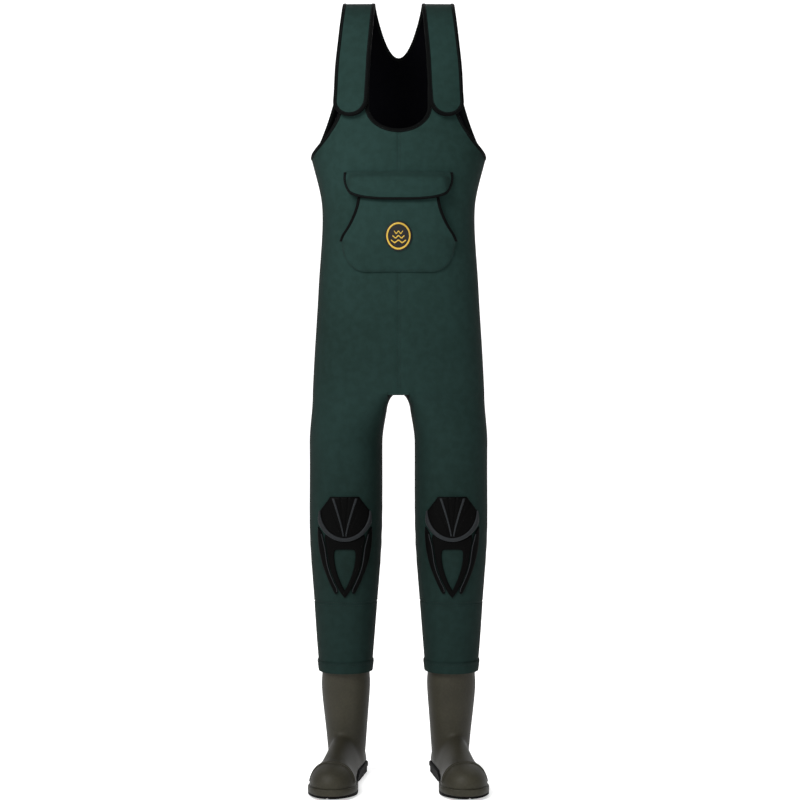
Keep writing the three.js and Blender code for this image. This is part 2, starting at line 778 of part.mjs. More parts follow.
function kneeCapPiping() {
  const angles = [...capAngles.map((angle) => -angle).reverse(), 0, ...capAngles];
  return sheetSolid(angles.length - 1, 1, (row, column, layer) => {
    const grow = column ? kneePiping : 2 * gap;
    const z = kneeHeight + kneeCapShoulder - (kneeCapArc + grow) * Math.cos(angles[row]);
    const x = (kneeCapHalfWidth + grow) * Math.sin(angles[row]);
    return shinPoint(x, z, layer ? skinLift : skinLift + kneePadThickness + 1);
  });
}

// A pointed ring under the cap: a bar across the top and two blades down to the tip.
function kneeGuard() {
  const top = kneeHeight - kneeGuardTopDrop;
  const drop = top - (kneeHeight - kneeGuardTip);
  const outline = (share) => {
    const turn = share * 2 * Math.PI;
    const fall = (1 - Math.cos(turn)) / 2;
    const halfWidth = kneeGuardHalfWidth * (1 - kneeGuardPinch * fall);
    return [Math.sin(turn) * halfWidth, top - drop * fall ** kneeGuardFall];
  };
  return sheetSolid(28, 1, (row, column, layer) => {
    const [x, z] = outline(row / 28);
    const middle = top - drop * kneeGuardHoleDrop;
    const [wide, high] = column ? [1, 1] : [kneeGuardHoleWidth, kneeGuardHoleHeight];
    return shinPoint(x * wide, mix(middle, z, high), layer ? skinLift : skinLift + kneeGuardThickness);
  });
}

// A long curved blade beside the guard, from the cap's shoulder towards the tip.
function kneeBlade(sign) {
  const top = kneeHeight + kneeCapShoulder - kneeBladeTopDrop;
  const bottom = kneeHeight - kneeBladeTip;
  return sheetSolid(10, 1, (row, column, layer) => {
    const share = row / 10;
    const z = mix(top, bottom, share);
    const outer = mix(kneeBladeHalfWidth, kneeBladeEndHalfWidth, share ** kneeBladeCurve);
    const width = kneeBladeWidth * Math.sin(Math.PI * mix(0.12, 0.9, share));
    const x = sign * (outer - (column ? 0 : width));
    return shinPoint(x, z, layer ? skinLift : skinLift + kneeGuardThickness);
  });
}

// ---------------------------------------------------------------- boots

// Profiles along the foot, from the heel at +Y to the toe at -Y.
const toeY = -toeReach;
const footHalfWidth = (y) => smoothThrough([
  [toeY, 10], [toeY + 10, 26], [toeY + 34, 41], [toeY + 80, ballHalfWidth],
  [toeY + 150, heelHalfWidth + 2], [20, heelHalfWidth], [heelReach - 18, heelHalfWidth - 5], [heelReach, 12],
], y);
const footTop = (y) => smoothThrough([
  [toeY, 34], [toeY + 14, 50], [toeY + 60, 66], [toeY + 110, 84], [toeY + 150, 108],
  [-10, 118], [40, 112], [heelReach - 8, 92], [heelReach, 70],
], y);
const archStart = toeY + 120;
const archEnd = toeY + 172;
const soleBottom = (y) => heelHeight * clamp01((y - archStart) / (archEnd - archStart));
const toeDrift = (y) => -toeDriftIn * ease((-y - 60) / 150);

// Places along the foot, the same for every piece so that the layers stay parallel.
function footPlaces(grow) {
  const toe = [7, 16, 32, 58, 88].map((step) => toeY + step);
  const heel = [14, 32, 50, 64].map((y) => Math.min(y, heelReach - 4));
  return [toeY - grow, ...toe, archStart, (archStart + archEnd) / 2, archEnd, ...heel, heelReach + grow];
}

// A closed D-shaped section of the foot at one place along it, grown by an offset.
function footRing(y, grow, floor) {
  const atY = Math.min(heelReach, Math.max(toeY, y));
  const halfWidth = Math.max(4, footHalfWidth(atY) + grow);
  const top = footTop(atY) + grow;
  const bottom = soleBottom(atY) + soleThickness + floor;
  const arch = evenly(0, Math.PI, 10).map((angle) => {
    const x = Math.sign(Math.cos(angle)) * Math.abs(Math.cos(angle)) ** 0.85 * halfWidth;
    return new THREE.Vector3(x + toeDrift(y), y, bottom + (top - bottom) * Math.sin(angle) ** 0.85);
  });
  return [...arch, new THREE.Vector3(toeDrift(y), y, bottom)];
}

const footSolid = (grow, floor) => loftSolid(footPlaces(grow).map((y) => footRing(y, grow, floor)));

// The upright tube of the boot, from inside the heel to above the rim.
function shaftSolid(grow, from, to) {
  const low = 40;
  const stations = (heel, ankle, top) => [[low, heel], [ankleHeight, ankle], [legHemHeight, top]];
  const widths = stations(bootAnkleHalfWidth - 6, bootAnkleHalfWidth, bootShaftHalfWidth);
  const depths = stations(bootAnkleHalfDepth, bootAnkleHalfDepth - 2, bootShaftHalfDepth);
  return loftSolid(evenly(from, to, 7).map((z) => {
    const width = smoothThrough(widths, z) + grow;
    const depth = smoothThrough(depths, z) + grow;
    const lean = shaftLean * (1 - ease((z - low) / 150));
    return Array.from({ length: legColumns }, (_, index) => {
      const angle = (index / legColumns) * 2 * Math.PI;
      return new THREE.Vector3(width * Math.cos(angle), lean + depth * Math.sin(angle), z);
    });
  }));
}

function bootUpper() {
  const seat = soleThickness + heelHeight;
  const outside = toSolid(footSolid(0, gap)).add(toSolid(shaftSolid(0, seat + 8, bootTopHeight)));
  const insideFoot = toSolid(footSolid(-bootWall, gap + bootFloor));
  const insideShaft = toSolid(shaftSolid(-bootWall, seat + 14, bootTopHeight + 10));
  return toGeometry(outside.subtract(insideFoot.add(insideShaft)));
}

// A plate of the sole over the given places, between two profiles.
function solePlate(places, bottomAt, topAt, ledge) {
  return sheetSolid(places.length - 1, 4, (row, column, layer) => {
    const y = places[row];
    const x = toeDrift(y) + mix(-1, 1, column / 4) * (footHalfWidth(y) + ledge);
    return new THREE.Vector3(x, y, layer ? topAt(y) : bottomAt(y));
  });
}

const outsole = () => solePlate(footPlaces(soleLedge), soleBottom, (y) => soleBottom(y) + soleThickness, soleLedge);

const heelBlock = () => solePlate(footPlaces(0).slice(8), () => 0, () => heelHeight - gap, 0);

function insole() {
  const rest = (y) => soleBottom(y) + soleThickness + bootFloor + 2 * gap;
  const places = footPlaces(0).slice(2, -2);
  return solePlate(places, rest, (y) => rest(y) + insoleThickness, -bootWall - 5);
}

// ---------------------------------------------------------------- assembly

const waders = new THREE.Group();
waders.name = 'chest_waders';

function place(group, name, geometry, material) {
  const mesh = new THREE.Mesh(geometry, material);
  mesh.name = name;
  group.add(mesh);
}

// A left piece and its mirror image on the right.
function placePair(group, name, geometry, material) {
  place(group, `${name}_left`, geometry, material);
  place(group, `${name}_right`, mirrored(geometry), material.clone());
}

function bodyPieces() {
  const body = new THREE.Group();
  placePair(body, 'bib_front', bodyPanel(-1, bibRows), bodyNeoprene());
  placePair(body, 'back_panel', bodyPanel(1, backRows), bodyNeoprene());
  placePair(body, 'armhole_binding', armholeBinding(), binding());
  place(body, 'neck_binding', neckBinding(), binding());
  place(body, 'back_neck_binding', backNeckBinding(), binding());
  place(body, 'crotch_gusset', crotchGusset(), bodyNeoprene());
  placePair(body, 'strap_loop_tape', strapTape(gap), hookTape());
  return body;
}

function strapPieces() {
  const straps = new THREE.Group();
  placePair(straps, 'strap', strapPanel(), bodyNeoprene());
  placePair(straps, 'strap_binding', strapBinding(), binding());
  placePair(straps, 'strap_hook_tape', strapTape(tape + 2 * gap), hookTape());
  return straps;
}

function pocketPieces() {
  const pocket = new THREE.Group();
  place(pocket, 'pocket_pouch', pocketPouch(), bodyNeoprene());
  placePair(pocket, 'pocket_opening_binding', pocketOpeningBinding(), binding());
  place(pocket, 'pocket_loop_tape', flapTape(gap), hookTape());
  place(pocket, 'pocket_flap', pocketFlap(), bodyNeoprene());
  place(pocket, 'flap_binding', flapBinding(), binding());
  place(pocket, 'flap_hook_tape', flapTape(tape + 2 * gap), hookTape());
  place(pocket, 'chest_badge', chestBadge(), badgeThread());
  return pocket;
}

function legPieces() {
  const legs = new THREE.Group();
  placePair(legs, 'hip_band', legTube(hipBandBottom, crotchHeight, 6), legNeoprene());
  placePair(legs, 'thigh_front', legPanel(-1, kneeBandTop, hipBandBottom, 3), legNeoprene());
  placePair(legs, 'thigh_back', legPanel(1, kneeBandTop, hipBandBottom, 3), legNeoprene());
  placePair(legs, 'knee_band', legTube(kneeBandBottom, kneeBandTop, 6), legNeoprene());
  placePair(legs, 'shin_front', legPanel(-1, legHemHeight, kneeBandBottom, 6), legNeoprene());
  placePair(legs, 'shin_back', legPanel(1, legHemHeight, kneeBandBottom, 6), legNeoprene());
  placePair(legs, 'leg_hem', legHemBand(), legNeoprene());
  placePair(legs, 'knee_cap', kneeCap(), padRubber());
  placePair(legs, 'knee_piping', kneeCapPiping(), padPiping());
  placePair(legs, 'knee_guard', kneeGuard(), padRubber());
  placePair(legs, 'knee_blade_outer', kneeBlade(1), padRubber());
  placePair(legs, 'knee_blade_inner', kneeBlade(-1), padRubber());
  return legs;
}

function bootPieces() {
  const boots = new THREE.Group();
  const pieces = [
    ['boot_upper', bootUpper(), bootRubber],
    ['boot_outsole', outsole(), soleRubber],
    ['boot_heel', heelBlock(), soleRubber],
    ['boot_insole', insole(), insoleFoam],
  ];
  [['left', 1], ['right', -1]].forEach(([side, sign]) => {
    const boot = new THREE.Group();
    boot.position.x = sign * legCentreX;
    boot.rotation.z = sign * radians(toeOutDegrees);
    pieces.forEach(([name, geometry, material]) => {
      place(boot, `${name}_${side}`, sign > 0 ? geometry : mirrored(geometry), material());
    });
    boots.add(boot);
  });
  return boots;
}

waders.add(bodyPieces(), strapPieces(), pocketPieces(), legPieces(), bootPieces());

// The origin goes under the middle of the whole object's box.
const middle = new THREE.Box3().setFromObject(waders, true).getCenter(new THREE.Vector3());
waders.position.y = -middle.y;

export default waders;
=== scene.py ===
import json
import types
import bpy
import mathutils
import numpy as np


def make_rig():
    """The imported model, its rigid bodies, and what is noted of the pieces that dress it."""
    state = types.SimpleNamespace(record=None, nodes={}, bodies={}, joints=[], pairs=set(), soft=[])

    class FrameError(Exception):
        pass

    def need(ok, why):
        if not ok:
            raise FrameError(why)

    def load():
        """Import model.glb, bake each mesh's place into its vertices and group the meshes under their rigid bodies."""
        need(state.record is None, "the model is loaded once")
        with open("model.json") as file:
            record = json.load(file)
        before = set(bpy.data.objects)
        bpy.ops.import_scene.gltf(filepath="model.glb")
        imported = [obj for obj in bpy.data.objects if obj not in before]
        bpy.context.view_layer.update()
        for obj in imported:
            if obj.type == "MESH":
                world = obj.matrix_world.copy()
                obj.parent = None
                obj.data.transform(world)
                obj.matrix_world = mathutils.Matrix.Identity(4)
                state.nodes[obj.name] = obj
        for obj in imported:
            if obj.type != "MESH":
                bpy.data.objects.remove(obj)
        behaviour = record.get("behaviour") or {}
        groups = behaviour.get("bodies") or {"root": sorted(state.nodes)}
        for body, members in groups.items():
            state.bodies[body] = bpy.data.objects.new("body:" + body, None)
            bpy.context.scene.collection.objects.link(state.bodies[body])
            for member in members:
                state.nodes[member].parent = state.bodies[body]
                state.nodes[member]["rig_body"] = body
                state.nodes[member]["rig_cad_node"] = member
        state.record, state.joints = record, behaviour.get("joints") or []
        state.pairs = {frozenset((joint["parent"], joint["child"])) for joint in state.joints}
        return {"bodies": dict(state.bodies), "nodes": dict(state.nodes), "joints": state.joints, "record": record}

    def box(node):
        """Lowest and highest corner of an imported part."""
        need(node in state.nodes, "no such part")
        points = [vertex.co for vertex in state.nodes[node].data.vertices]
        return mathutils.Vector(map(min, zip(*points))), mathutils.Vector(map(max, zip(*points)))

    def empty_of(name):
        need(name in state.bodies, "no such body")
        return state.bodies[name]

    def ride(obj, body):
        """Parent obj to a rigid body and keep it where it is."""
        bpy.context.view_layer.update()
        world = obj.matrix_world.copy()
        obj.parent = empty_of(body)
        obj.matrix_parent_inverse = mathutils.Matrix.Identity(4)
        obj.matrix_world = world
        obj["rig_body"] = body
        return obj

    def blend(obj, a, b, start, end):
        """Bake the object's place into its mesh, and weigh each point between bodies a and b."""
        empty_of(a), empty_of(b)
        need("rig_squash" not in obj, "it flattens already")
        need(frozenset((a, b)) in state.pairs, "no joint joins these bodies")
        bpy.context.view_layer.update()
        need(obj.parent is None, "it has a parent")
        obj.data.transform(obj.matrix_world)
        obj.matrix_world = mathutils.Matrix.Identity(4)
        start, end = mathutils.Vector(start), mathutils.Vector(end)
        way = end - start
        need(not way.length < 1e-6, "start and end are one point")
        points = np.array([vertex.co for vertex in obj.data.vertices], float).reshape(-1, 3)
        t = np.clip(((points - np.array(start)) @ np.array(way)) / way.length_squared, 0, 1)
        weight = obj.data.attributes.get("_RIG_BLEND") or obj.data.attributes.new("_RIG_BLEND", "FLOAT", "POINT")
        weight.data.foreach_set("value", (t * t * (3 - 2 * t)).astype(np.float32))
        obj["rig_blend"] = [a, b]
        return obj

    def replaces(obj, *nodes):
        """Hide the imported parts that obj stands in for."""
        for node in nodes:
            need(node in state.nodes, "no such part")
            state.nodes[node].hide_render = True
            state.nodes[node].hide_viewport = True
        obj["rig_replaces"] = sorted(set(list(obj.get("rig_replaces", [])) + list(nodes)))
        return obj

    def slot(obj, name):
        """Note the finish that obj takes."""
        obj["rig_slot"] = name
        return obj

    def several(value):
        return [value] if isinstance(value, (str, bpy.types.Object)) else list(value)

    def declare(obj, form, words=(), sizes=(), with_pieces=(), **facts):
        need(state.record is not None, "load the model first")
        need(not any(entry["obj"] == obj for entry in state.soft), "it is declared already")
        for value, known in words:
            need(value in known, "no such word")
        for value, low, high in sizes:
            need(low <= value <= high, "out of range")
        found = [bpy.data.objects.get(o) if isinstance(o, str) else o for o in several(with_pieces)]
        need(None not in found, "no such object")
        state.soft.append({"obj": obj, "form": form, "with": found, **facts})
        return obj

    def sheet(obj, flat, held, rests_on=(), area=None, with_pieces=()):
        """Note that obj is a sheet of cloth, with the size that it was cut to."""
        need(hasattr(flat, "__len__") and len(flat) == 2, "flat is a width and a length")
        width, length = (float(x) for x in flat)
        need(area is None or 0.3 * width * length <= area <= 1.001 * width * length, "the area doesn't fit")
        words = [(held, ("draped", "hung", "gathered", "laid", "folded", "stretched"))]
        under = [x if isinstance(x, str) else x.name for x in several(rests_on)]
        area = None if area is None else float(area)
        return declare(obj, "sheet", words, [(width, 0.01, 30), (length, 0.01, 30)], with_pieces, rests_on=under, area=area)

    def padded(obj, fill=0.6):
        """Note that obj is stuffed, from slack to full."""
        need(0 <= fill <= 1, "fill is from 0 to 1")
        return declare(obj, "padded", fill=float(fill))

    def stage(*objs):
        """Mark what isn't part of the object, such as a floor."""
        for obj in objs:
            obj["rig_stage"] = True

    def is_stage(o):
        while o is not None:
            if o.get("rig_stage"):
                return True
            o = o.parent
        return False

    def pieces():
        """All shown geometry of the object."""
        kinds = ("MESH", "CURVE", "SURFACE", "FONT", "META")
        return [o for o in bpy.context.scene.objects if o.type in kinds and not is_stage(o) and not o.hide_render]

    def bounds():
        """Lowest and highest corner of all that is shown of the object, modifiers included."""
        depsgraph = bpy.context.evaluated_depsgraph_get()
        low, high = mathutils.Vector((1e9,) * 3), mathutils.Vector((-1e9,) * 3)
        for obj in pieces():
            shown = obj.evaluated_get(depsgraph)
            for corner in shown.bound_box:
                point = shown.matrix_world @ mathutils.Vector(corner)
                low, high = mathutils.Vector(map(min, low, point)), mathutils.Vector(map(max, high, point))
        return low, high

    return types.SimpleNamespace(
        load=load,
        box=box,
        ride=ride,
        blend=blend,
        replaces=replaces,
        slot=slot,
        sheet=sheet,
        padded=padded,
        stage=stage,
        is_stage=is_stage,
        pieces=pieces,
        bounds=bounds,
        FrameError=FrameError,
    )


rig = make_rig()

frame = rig.load()

import json
import math

import bmesh
import bpy
from mathutils import Vector, noise

cadLow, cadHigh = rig.bounds()
sides = {"left": 1, "right": -1}
joints = {joint["name"]: Vector(joint["pos_m"]) for joint in frame["joints"]}


def lowOf(node):
    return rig.box(node)[0]


def highOf(node):
    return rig.box(node)[1]


# Heights of the bends that the frame has no node for, and the clearance beside a seam
drops = {"backSpring": 0.182, "tab": 0.060, "armhole": 0.086, "seamGap": 0.0006}

# Where the garment's parts lie, from the frame
middleY = joints["hip_left"].y
legX = joints["hip_left"].x
kneeZ = joints["knee_left"].z
hemZ = lowOf("shin_front_left").z
crotchZ = highOf("crotch_gusset").z
shoulderZ = highOf("back_panel_left").z
hipBandZ = lowOf("hip_band_left").z
gussetHalf = highOf("crotch_gusset").x + drops["seamGap"]
backSpring = shoulderZ - drops["backSpring"]
shoulderY = joints["strap_fold_left"].y - middleY
pouchLow = lowOf("pocket_pouch").z
pouchTop = highOf("pocket_pouch").z
flapTop = highOf("pocket_flap").z
tabTop = highOf("bib_front_left").z
frontSpring = tabTop - drops["tab"]
armholeZ = frontSpring - drops["armhole"]

# Girths and trims in metres
body = {
    "hipHalf": 0.1775, "waistHalf": 0.166, "chestHalf": 0.1585, "armholeHalf": 0.1815,
    "hipFront": 0.102, "seatFront": 0.114, "waistFront": 0.112, "chestFront": 0.112,
    "hipBack": 0.108, "seatBack": 0.120, "waistBack": 0.108, "chestBack": 0.110,
    "squareness": 2.4, "seatRise": 0.080, "waistRise": 0.215, "chestRise": 0.380,
    "fabric": 0.0045, "dent": 0.0011,
}
leg = {
    "hemHalf": 0.054, "calfHalf": 0.065, "kneeHalf": 0.074, "thighHalf": 0.0755,
    "hemDeep": 0.0625, "calfDeep": 0.070, "kneeDeep": 0.078, "thighDeep": 0.088,
    "squareness": 2.15, "archRise": 0.034, "crease": 0.0012, "creaseDrop": 0.02, "creaseReach": 0.07,
}
trim = {"width": 0.008, "wrap": 0.0011}
neck = {"half": 0.060, "depth": 0.045, "backDepth": 0.092, "backCurve": 0.5}
armhole = {"tabOuter": 0.120, "frontCurve": 1.65, "backCurve": 2.0}
strap = {
    "half": 0.03375, "crestX": 0.0815, "endX": 0.0935, "endDrop": 0.020, "space": 0.0039,
    "liftFrom": math.radians(25), "liftOver": math.radians(55), "ripple": 0.0006,
}


# Numbers

def clamp(value):
    return min(1.0, max(0.0, value))


def ease(value):
    value = clamp(value)
    return value * value * (3 - 2 * value)


def mix(low, high, share):
    return low + (high - low) * share


def evenly(low, high, count):
    return [mix(low, high, step / count) for step in range(count + 1)]


# Even steps from 0 to 1 with a few more close to both ends, for seams.
def crowded(count, near=(0.004, 0.012, 0.024)):
    middle = evenly(near[-1] * 1.6, 1 - near[-1] * 1.6, count)
    return [0.0, *near, *middle, *[1 - step for step in reversed(near)], 1.0]


# 1 at the centre, 0 past the reach.
def bump(distance, reach):
    return math.exp(-((distance / reach) ** 2))


def smoothThrough(stations, place):
    last = len(stations) - 1
    if place <= stations[0][0]:
        return stations[0][1]
    if place >= stations[last][0]:
        return stations[last][1]
    right = next(index for index, station in enumerate(stations) if station[0] > place)

    def slope(index):
        before, after = stations[max(0, index - 1)], stations[min(last, index + 1)]
        return (after[1] - before[1]) / (after[0] - before[0])

    (fromPlace, fromValue), (toPlace, toValue) = stations[right - 1], stations[right]
    span = toPlace - fromPlace
    t = (place - fromPlace) / span
    bend = t * (1 - t) * span
    straight = (toValue - fromValue) / span
    pull = bend * (1 - t) * (slope(right - 1) - straight) + bend * t * (straight - slope(right))
    return mix(fromValue, toValue, t) + pull


# The body's surface

bodyWidths = [
    (crotchZ, body["hipHalf"]), (crotchZ + body["waistRise"], body["waistHalf"]),
    (crotchZ + body["chestRise"], body["chestHalf"]), (armholeZ, body["armholeHalf"]),
]
bodyDepths = {
    side: [
        (crotchZ, body["hip" + word]), (crotchZ + body["seatRise"], body["seat" + word]),
        (crotchZ + body["waistRise"], body["waist" + word]),
        (crotchZ + body["chestRise"], body["chest" + word]),
    ]
    for side, word in ((-1, "Front"), (1, "Back"))
}


# Soft unevenness of a garment that nobody fills.
def dents(point):
    broad = noise.noise(point * 5.5)
    drawn = noise.noise(Vector((point.x * 16, point.y * 16, point.z * 5)) + Vector((7, 3, 1)))
    return body["dent"] * (1.3 * broad + 0.5 * drawn)


def bodyPoint(side, x, z, offset):
    half = smoothThrough(bodyWidths, z)
    share = min(1.0, abs(x) / half)
    power = body["squareness"]
    roundness = max(0.0, 1 - share ** power) ** (1 / power)
    spring = frontSpring if side < 0 else backSpring
    if z <= spring:
        depth = smoothThrough(bodyDepths[side], z)
        offset = offset + dents(Vector((x, side * depth * roundness, z)))
        return Vector((x * (1 + offset / half), middleY + side * (depth + offset) * roundness, z))
    depth = smoothThrough(bodyDepths[side], spring)
    reach = depth - side * shoulderY
    rise = shoulderZ - spring
    turn = math.asin(min(1.0, (z - spring) / rise))
    upright = math.cos(turn) ** 2
    normal = Vector((0, side * math.cos(turn) / reach, math.sin(turn) / rise)).normalized()
    place = Vector((x, side * depth * roundness, z))
    offset = offset + dents(place) * upright
    spot = Vector((
        x * (1 + offset / half * upright),
        middleY + shoulderY + side * reach * math.cos(turn),
        spring + rise * math.sin(turn),
    ))
    return spot + normal * (offset - depth * (1 - roundness) * upright)


def alongGirth(start, stop, share, z):
    half = smoothThrough(bodyWidths, z)
    power = body["squareness"]

    def angle(x):
        return math.acos(min(1.0, x / half) ** (power / 2))

    turn = mix(angle(start), angle(stop), share)
    return half * max(0.0, math.cos(turn)) ** (2 / power)


# The garment's edges

armCutZ = armholeZ - trim["width"]


def armholeX(side, z, inset):
    low = armCutZ if inset > 0 else armholeZ
    high = frontSpring if side < 0 else shoulderZ
    outer = armhole["tabOuter"] if side < 0 else strap["crestX"] + strap["half"]
    if z <= low:
        return smoothThrough(bodyWidths, z)
    curve = armhole["frontCurve"] if side < 0 else armhole["backCurve"]
    share = clamp((z - low) / (high - low))
    return outer - inset + (smoothThrough(bodyWidths, low) - outer + inset) * (1 - share) ** curve


def neckPoint(angle, inset):
    return (neck["half"] + inset) * math.sin(angle), frontSpring - (neck["depth"] + inset) * math.cos(angle)


def backNeckX(z, inset):
    low = shoulderZ - neck["backDepth"] - inset
    widest = strap["crestX"] - strap["half"] + inset
    return widest * clamp((z - low) / (shoulderZ - low)) ** neck["backCurve"]


neckAngles = evenly(0, math.pi / 2, 22)
tabRows = evenly(frontSpring, tabTop, 8)[1:]
trunkRows = evenly(crotchZ, armCutZ, 64)
neckCutZ = neckPoint(0, trim["width"])[1]
backNeckLow = shoulderZ - neck["backDepth"] - trim["width"]
backRise = shoulderZ - backSpring
lowTurn = math.asin((backNeckLow - backSpring) / backRise)
backTurns = [mix(lowTurn, math.pi / 2, share ** 1.8) for share in evenly(0, 1, 30)]
shoulderRows = [backSpring + backRise * math.sin(turn) for turn in backTurns]

bibRows = [(z, 0.0) for z in trunkRows]
bibRows += [(z, 0.0) for z in evenly(armCutZ, neckCutZ, 8)[1:-1]]
bibRows += [(z, x) for x, z in (neckPoint(angle, trim["width"]) for angle in neckAngles)]
bibRows += [(z, neck["half"] + trim["width"]) for z in tabRows]
backRows = [(z, 0.0) for z in trunkRows + evenly(armCutZ, backNeckLow, 24)[1:-1]]
backRows += [(z, backNeckX(z, trim["width"])) for z in shoulderRows]


# The legs' surface

def legProfile(kind):
    return [
        (hemZ, leg["hem" + kind]), (mix(hemZ, kneeZ, 0.5), leg["calf" + kind]),
        (kneeZ, leg["knee" + kind]), (hipBandZ, leg["thigh" + kind]),
    ]


legWidths, legDepths = legProfile("Half"), legProfile("Deep")


# The leg's section where it joins the body; near the top its inner side arches to the centre.
def halfBodyPoint(c, s, z, offset):
    arch = clamp((z - crotchZ + leg["archRise"]) / leg["archRise"])
    outer = body["hipHalf"] + offset
    inner = max(0.0001, gussetHalf * math.sqrt(1 - arch ** 2) - offset * (1 - arch))
    x = mix(inner, outer, (1 + c) / 2)
    deep = (body["hipFront"] if s < 0 else body["hipBack"]) + offset
    power = body["squareness"]
    roundness = max(0.0, 1 - (x / outer) ** power) ** (1 / power)
    corner = (1 - abs(c) ** 6) ** (1 / 6) if c < 0 else 1.0
    corner = mix(corner, 1.0, arch ** 2)
    return Vector((x, math.copysign(deep * roundness * corner, s), z))


# On the left leg: angle 0 is the outside, a quarter turn back is the front.
def legPoint(angle, z, offset):
    c, s = math.cos(angle), math.sin(angle)
    power = 2 / leg["squareness"]
    behindKnee = bump(z - kneeZ + leg["creaseDrop"], leg["creaseReach"]) * clamp(s + 0.2)
    crease = leg["crease"] * behindKnee * math.sin(z * 160 + 1.5 * s)
    width, depth = smoothThrough(legWidths, z), smoothThrough(legDepths, z)
    along, across = math.copysign(abs(c) ** power, c), math.copysign(abs(s) ** power, s)
    opening = ease((z - hipBandZ) / (crotchZ - hipBandZ))
    place = Vector((legX + width * along, depth * across, z))
    if opening > 0:
        place = place.lerp(halfBodyPoint(c, s, z, 0.0), opening)
    offset = offset + dents(place) + crease
    spot = Vector((legX + (width + offset) * along, (depth + offset) * across, z))
    if opening > 0:
        spot = spot.lerp(halfBodyPoint(c, s, z, offset), opening)
    return spot + Vector((0, middleY, 0))


# On the front of the left leg, x from the leg's centre line.
def shinPoint(x, z, offset):
    width = smoothThrough(legWidths, z)
    power = leg["squareness"] / 2
    return legPoint(-math.acos(math.copysign(min(1.0, abs(x) / width) ** power, x)), z, offset)


# Meshes

def newPiece(name, vertices, faces, materials, faceMaterials=None, uvs=None, sharp=()):
    mesh = bpy.data.meshes.new(name)
    mesh.from_pydata([tuple(vertex) for vertex in vertices], [], faces)
    for material in materials:
        mesh.materials.append(material)
    if faceMaterials:
        mesh.polygons.foreach_set("material_index", faceMaterials)
    if uvs:
        layer = mesh.uv_layers.new(name="cloth")
        for loop in mesh.loops:
            layer.data[loop.index].uv = uvs[loop.vertex_index]
    mesh.polygons.foreach_set("use_smooth", [True] * len(mesh.polygons))
    mesh.update()
    for edge in mesh.edges:
        if sharp and tuple(sorted(edge.vertices)) in sharp:
            edge.use_edge_sharp = True
    turnOutward(mesh)
    piece = bpy.data.objects.new(name, mesh)
    bpy.context.scene.collection.objects.link(piece)
    return piece


# A closed mesh whose volume comes out negative has all its faces turned round.
def turnOutward(mesh):
    volume = 0.0
    for polygon in mesh.polygons:
        corners = [mesh.vertices[index].co for index in polygon.vertices]
        for second, third in zip(corners[1:], corners[2:]):
            volume += corners[0].dot(second.cross(third))
    if volume < 0:
        mesh.flip_normals()


def mirrorX(points):
    return [Vector((-point.x, point.y, point.z)) for point in points]


# A sheet with thickness on a grid: at(row, column, offset), offset 0 is the outer skin.
def sheetPiece(name, rows, columns, at, materials, thickness, closed=False, sign=1):
    wide = len(columns)
    outer = [[at(row, column, 0.0) for column in columns] for row in rows]
    inner = [[at(row, column, -thickness) for column in columns] for row in rows]
    points = [point for grid in (outer, inner) for line in grid for point in line]
    uvs, climb = [], 0.0
    for index, line in enumerate(outer):
        if index:
            climb += (line[wide // 2] - outer[index - 1][wide // 2]).length
        run, spots = 0.0, []
        for step, point in enumerate(line):
            run += (point - line[step - 1]).length if step else 0.0
            spots.append((run, climb))
        uvs += spots
    uvs += uvs
    high = len(rows)
    inside = high * wide
    faces, marks, sharp = [], [], set()

    def quad(a, b, c, d, mark):
        faces.append((a, b, c, d))
        marks.append(min(mark, len(materials) - 1))

    def rim(a, b):
        quad(a, inside + a, inside + b, b, 0)
        sharp.update({(min(a, b), max(a, b)), (inside + min(a, b), inside + max(a, b))})

    last = wide if closed else wide - 1
    for row in range(high - 1):
        for column in range(last):
            a, b = row * wide + column, row * wide + (column + 1) % wide
            quad(a, b, b + wide, a + wide, 0)
            quad(inside + a, inside + a + wide, inside + b + wide, inside + b, 1)
    for column in range(last):
        a, b = column, (column + 1) % wide
        top = (high - 1) * wide
        rim(a, b)
        rim(top + b, top + a)
    if not closed:
        for row in range(high - 1):
            a, b = row * wide, row * wide + wide - 1
            rim(a + wide, a)
            rim(b, b + wide)
    points = points if sign > 0 else mirrorX(points)
    return newPiece(name, points, faces, materials, marks, uvs, sharp)


# A tube skinned over sections of points along a path.
def tubePiece(name, sections, materials, sign=1, closed=False):
    size = len(sections[0])
    points = [point for section in sections for point in section]
    uvs = [(step / size, row * 0.01) for row, section in enumerate(sections) for step in range(size)]
    count = len(sections)
    faces = []
    for row in range(count if closed else count - 1):
        following = (row + 1) % count
        for step in range(size):
            beside = (step + 1) % size
            faces.append((
                row * size + step, row * size + beside,
                following * size + beside, following * size + step,
            ))
    if not closed:
        faces.append(tuple(reversed(range(size))))
        faces.append(tuple((count - 1) * size + step for step in range(size)))
    points = points if sign > 0 else mirrorX(points)
    return newPiece(name, points, faces, materials, None, uvs)


# Points of a soft rectangle: both numbers go from -1 to 1.
def roundSection(count=14, power=0.6):
    spots = []
    for step in range(count):
        c, s = math.cos(2 * math.pi * step / count), math.sin(2 * math.pi * step / count)
        spots.append((math.copysign(abs(c) ** power, c), math.copysign(abs(s) ** power, s)))
    return spots


# How pieces ride

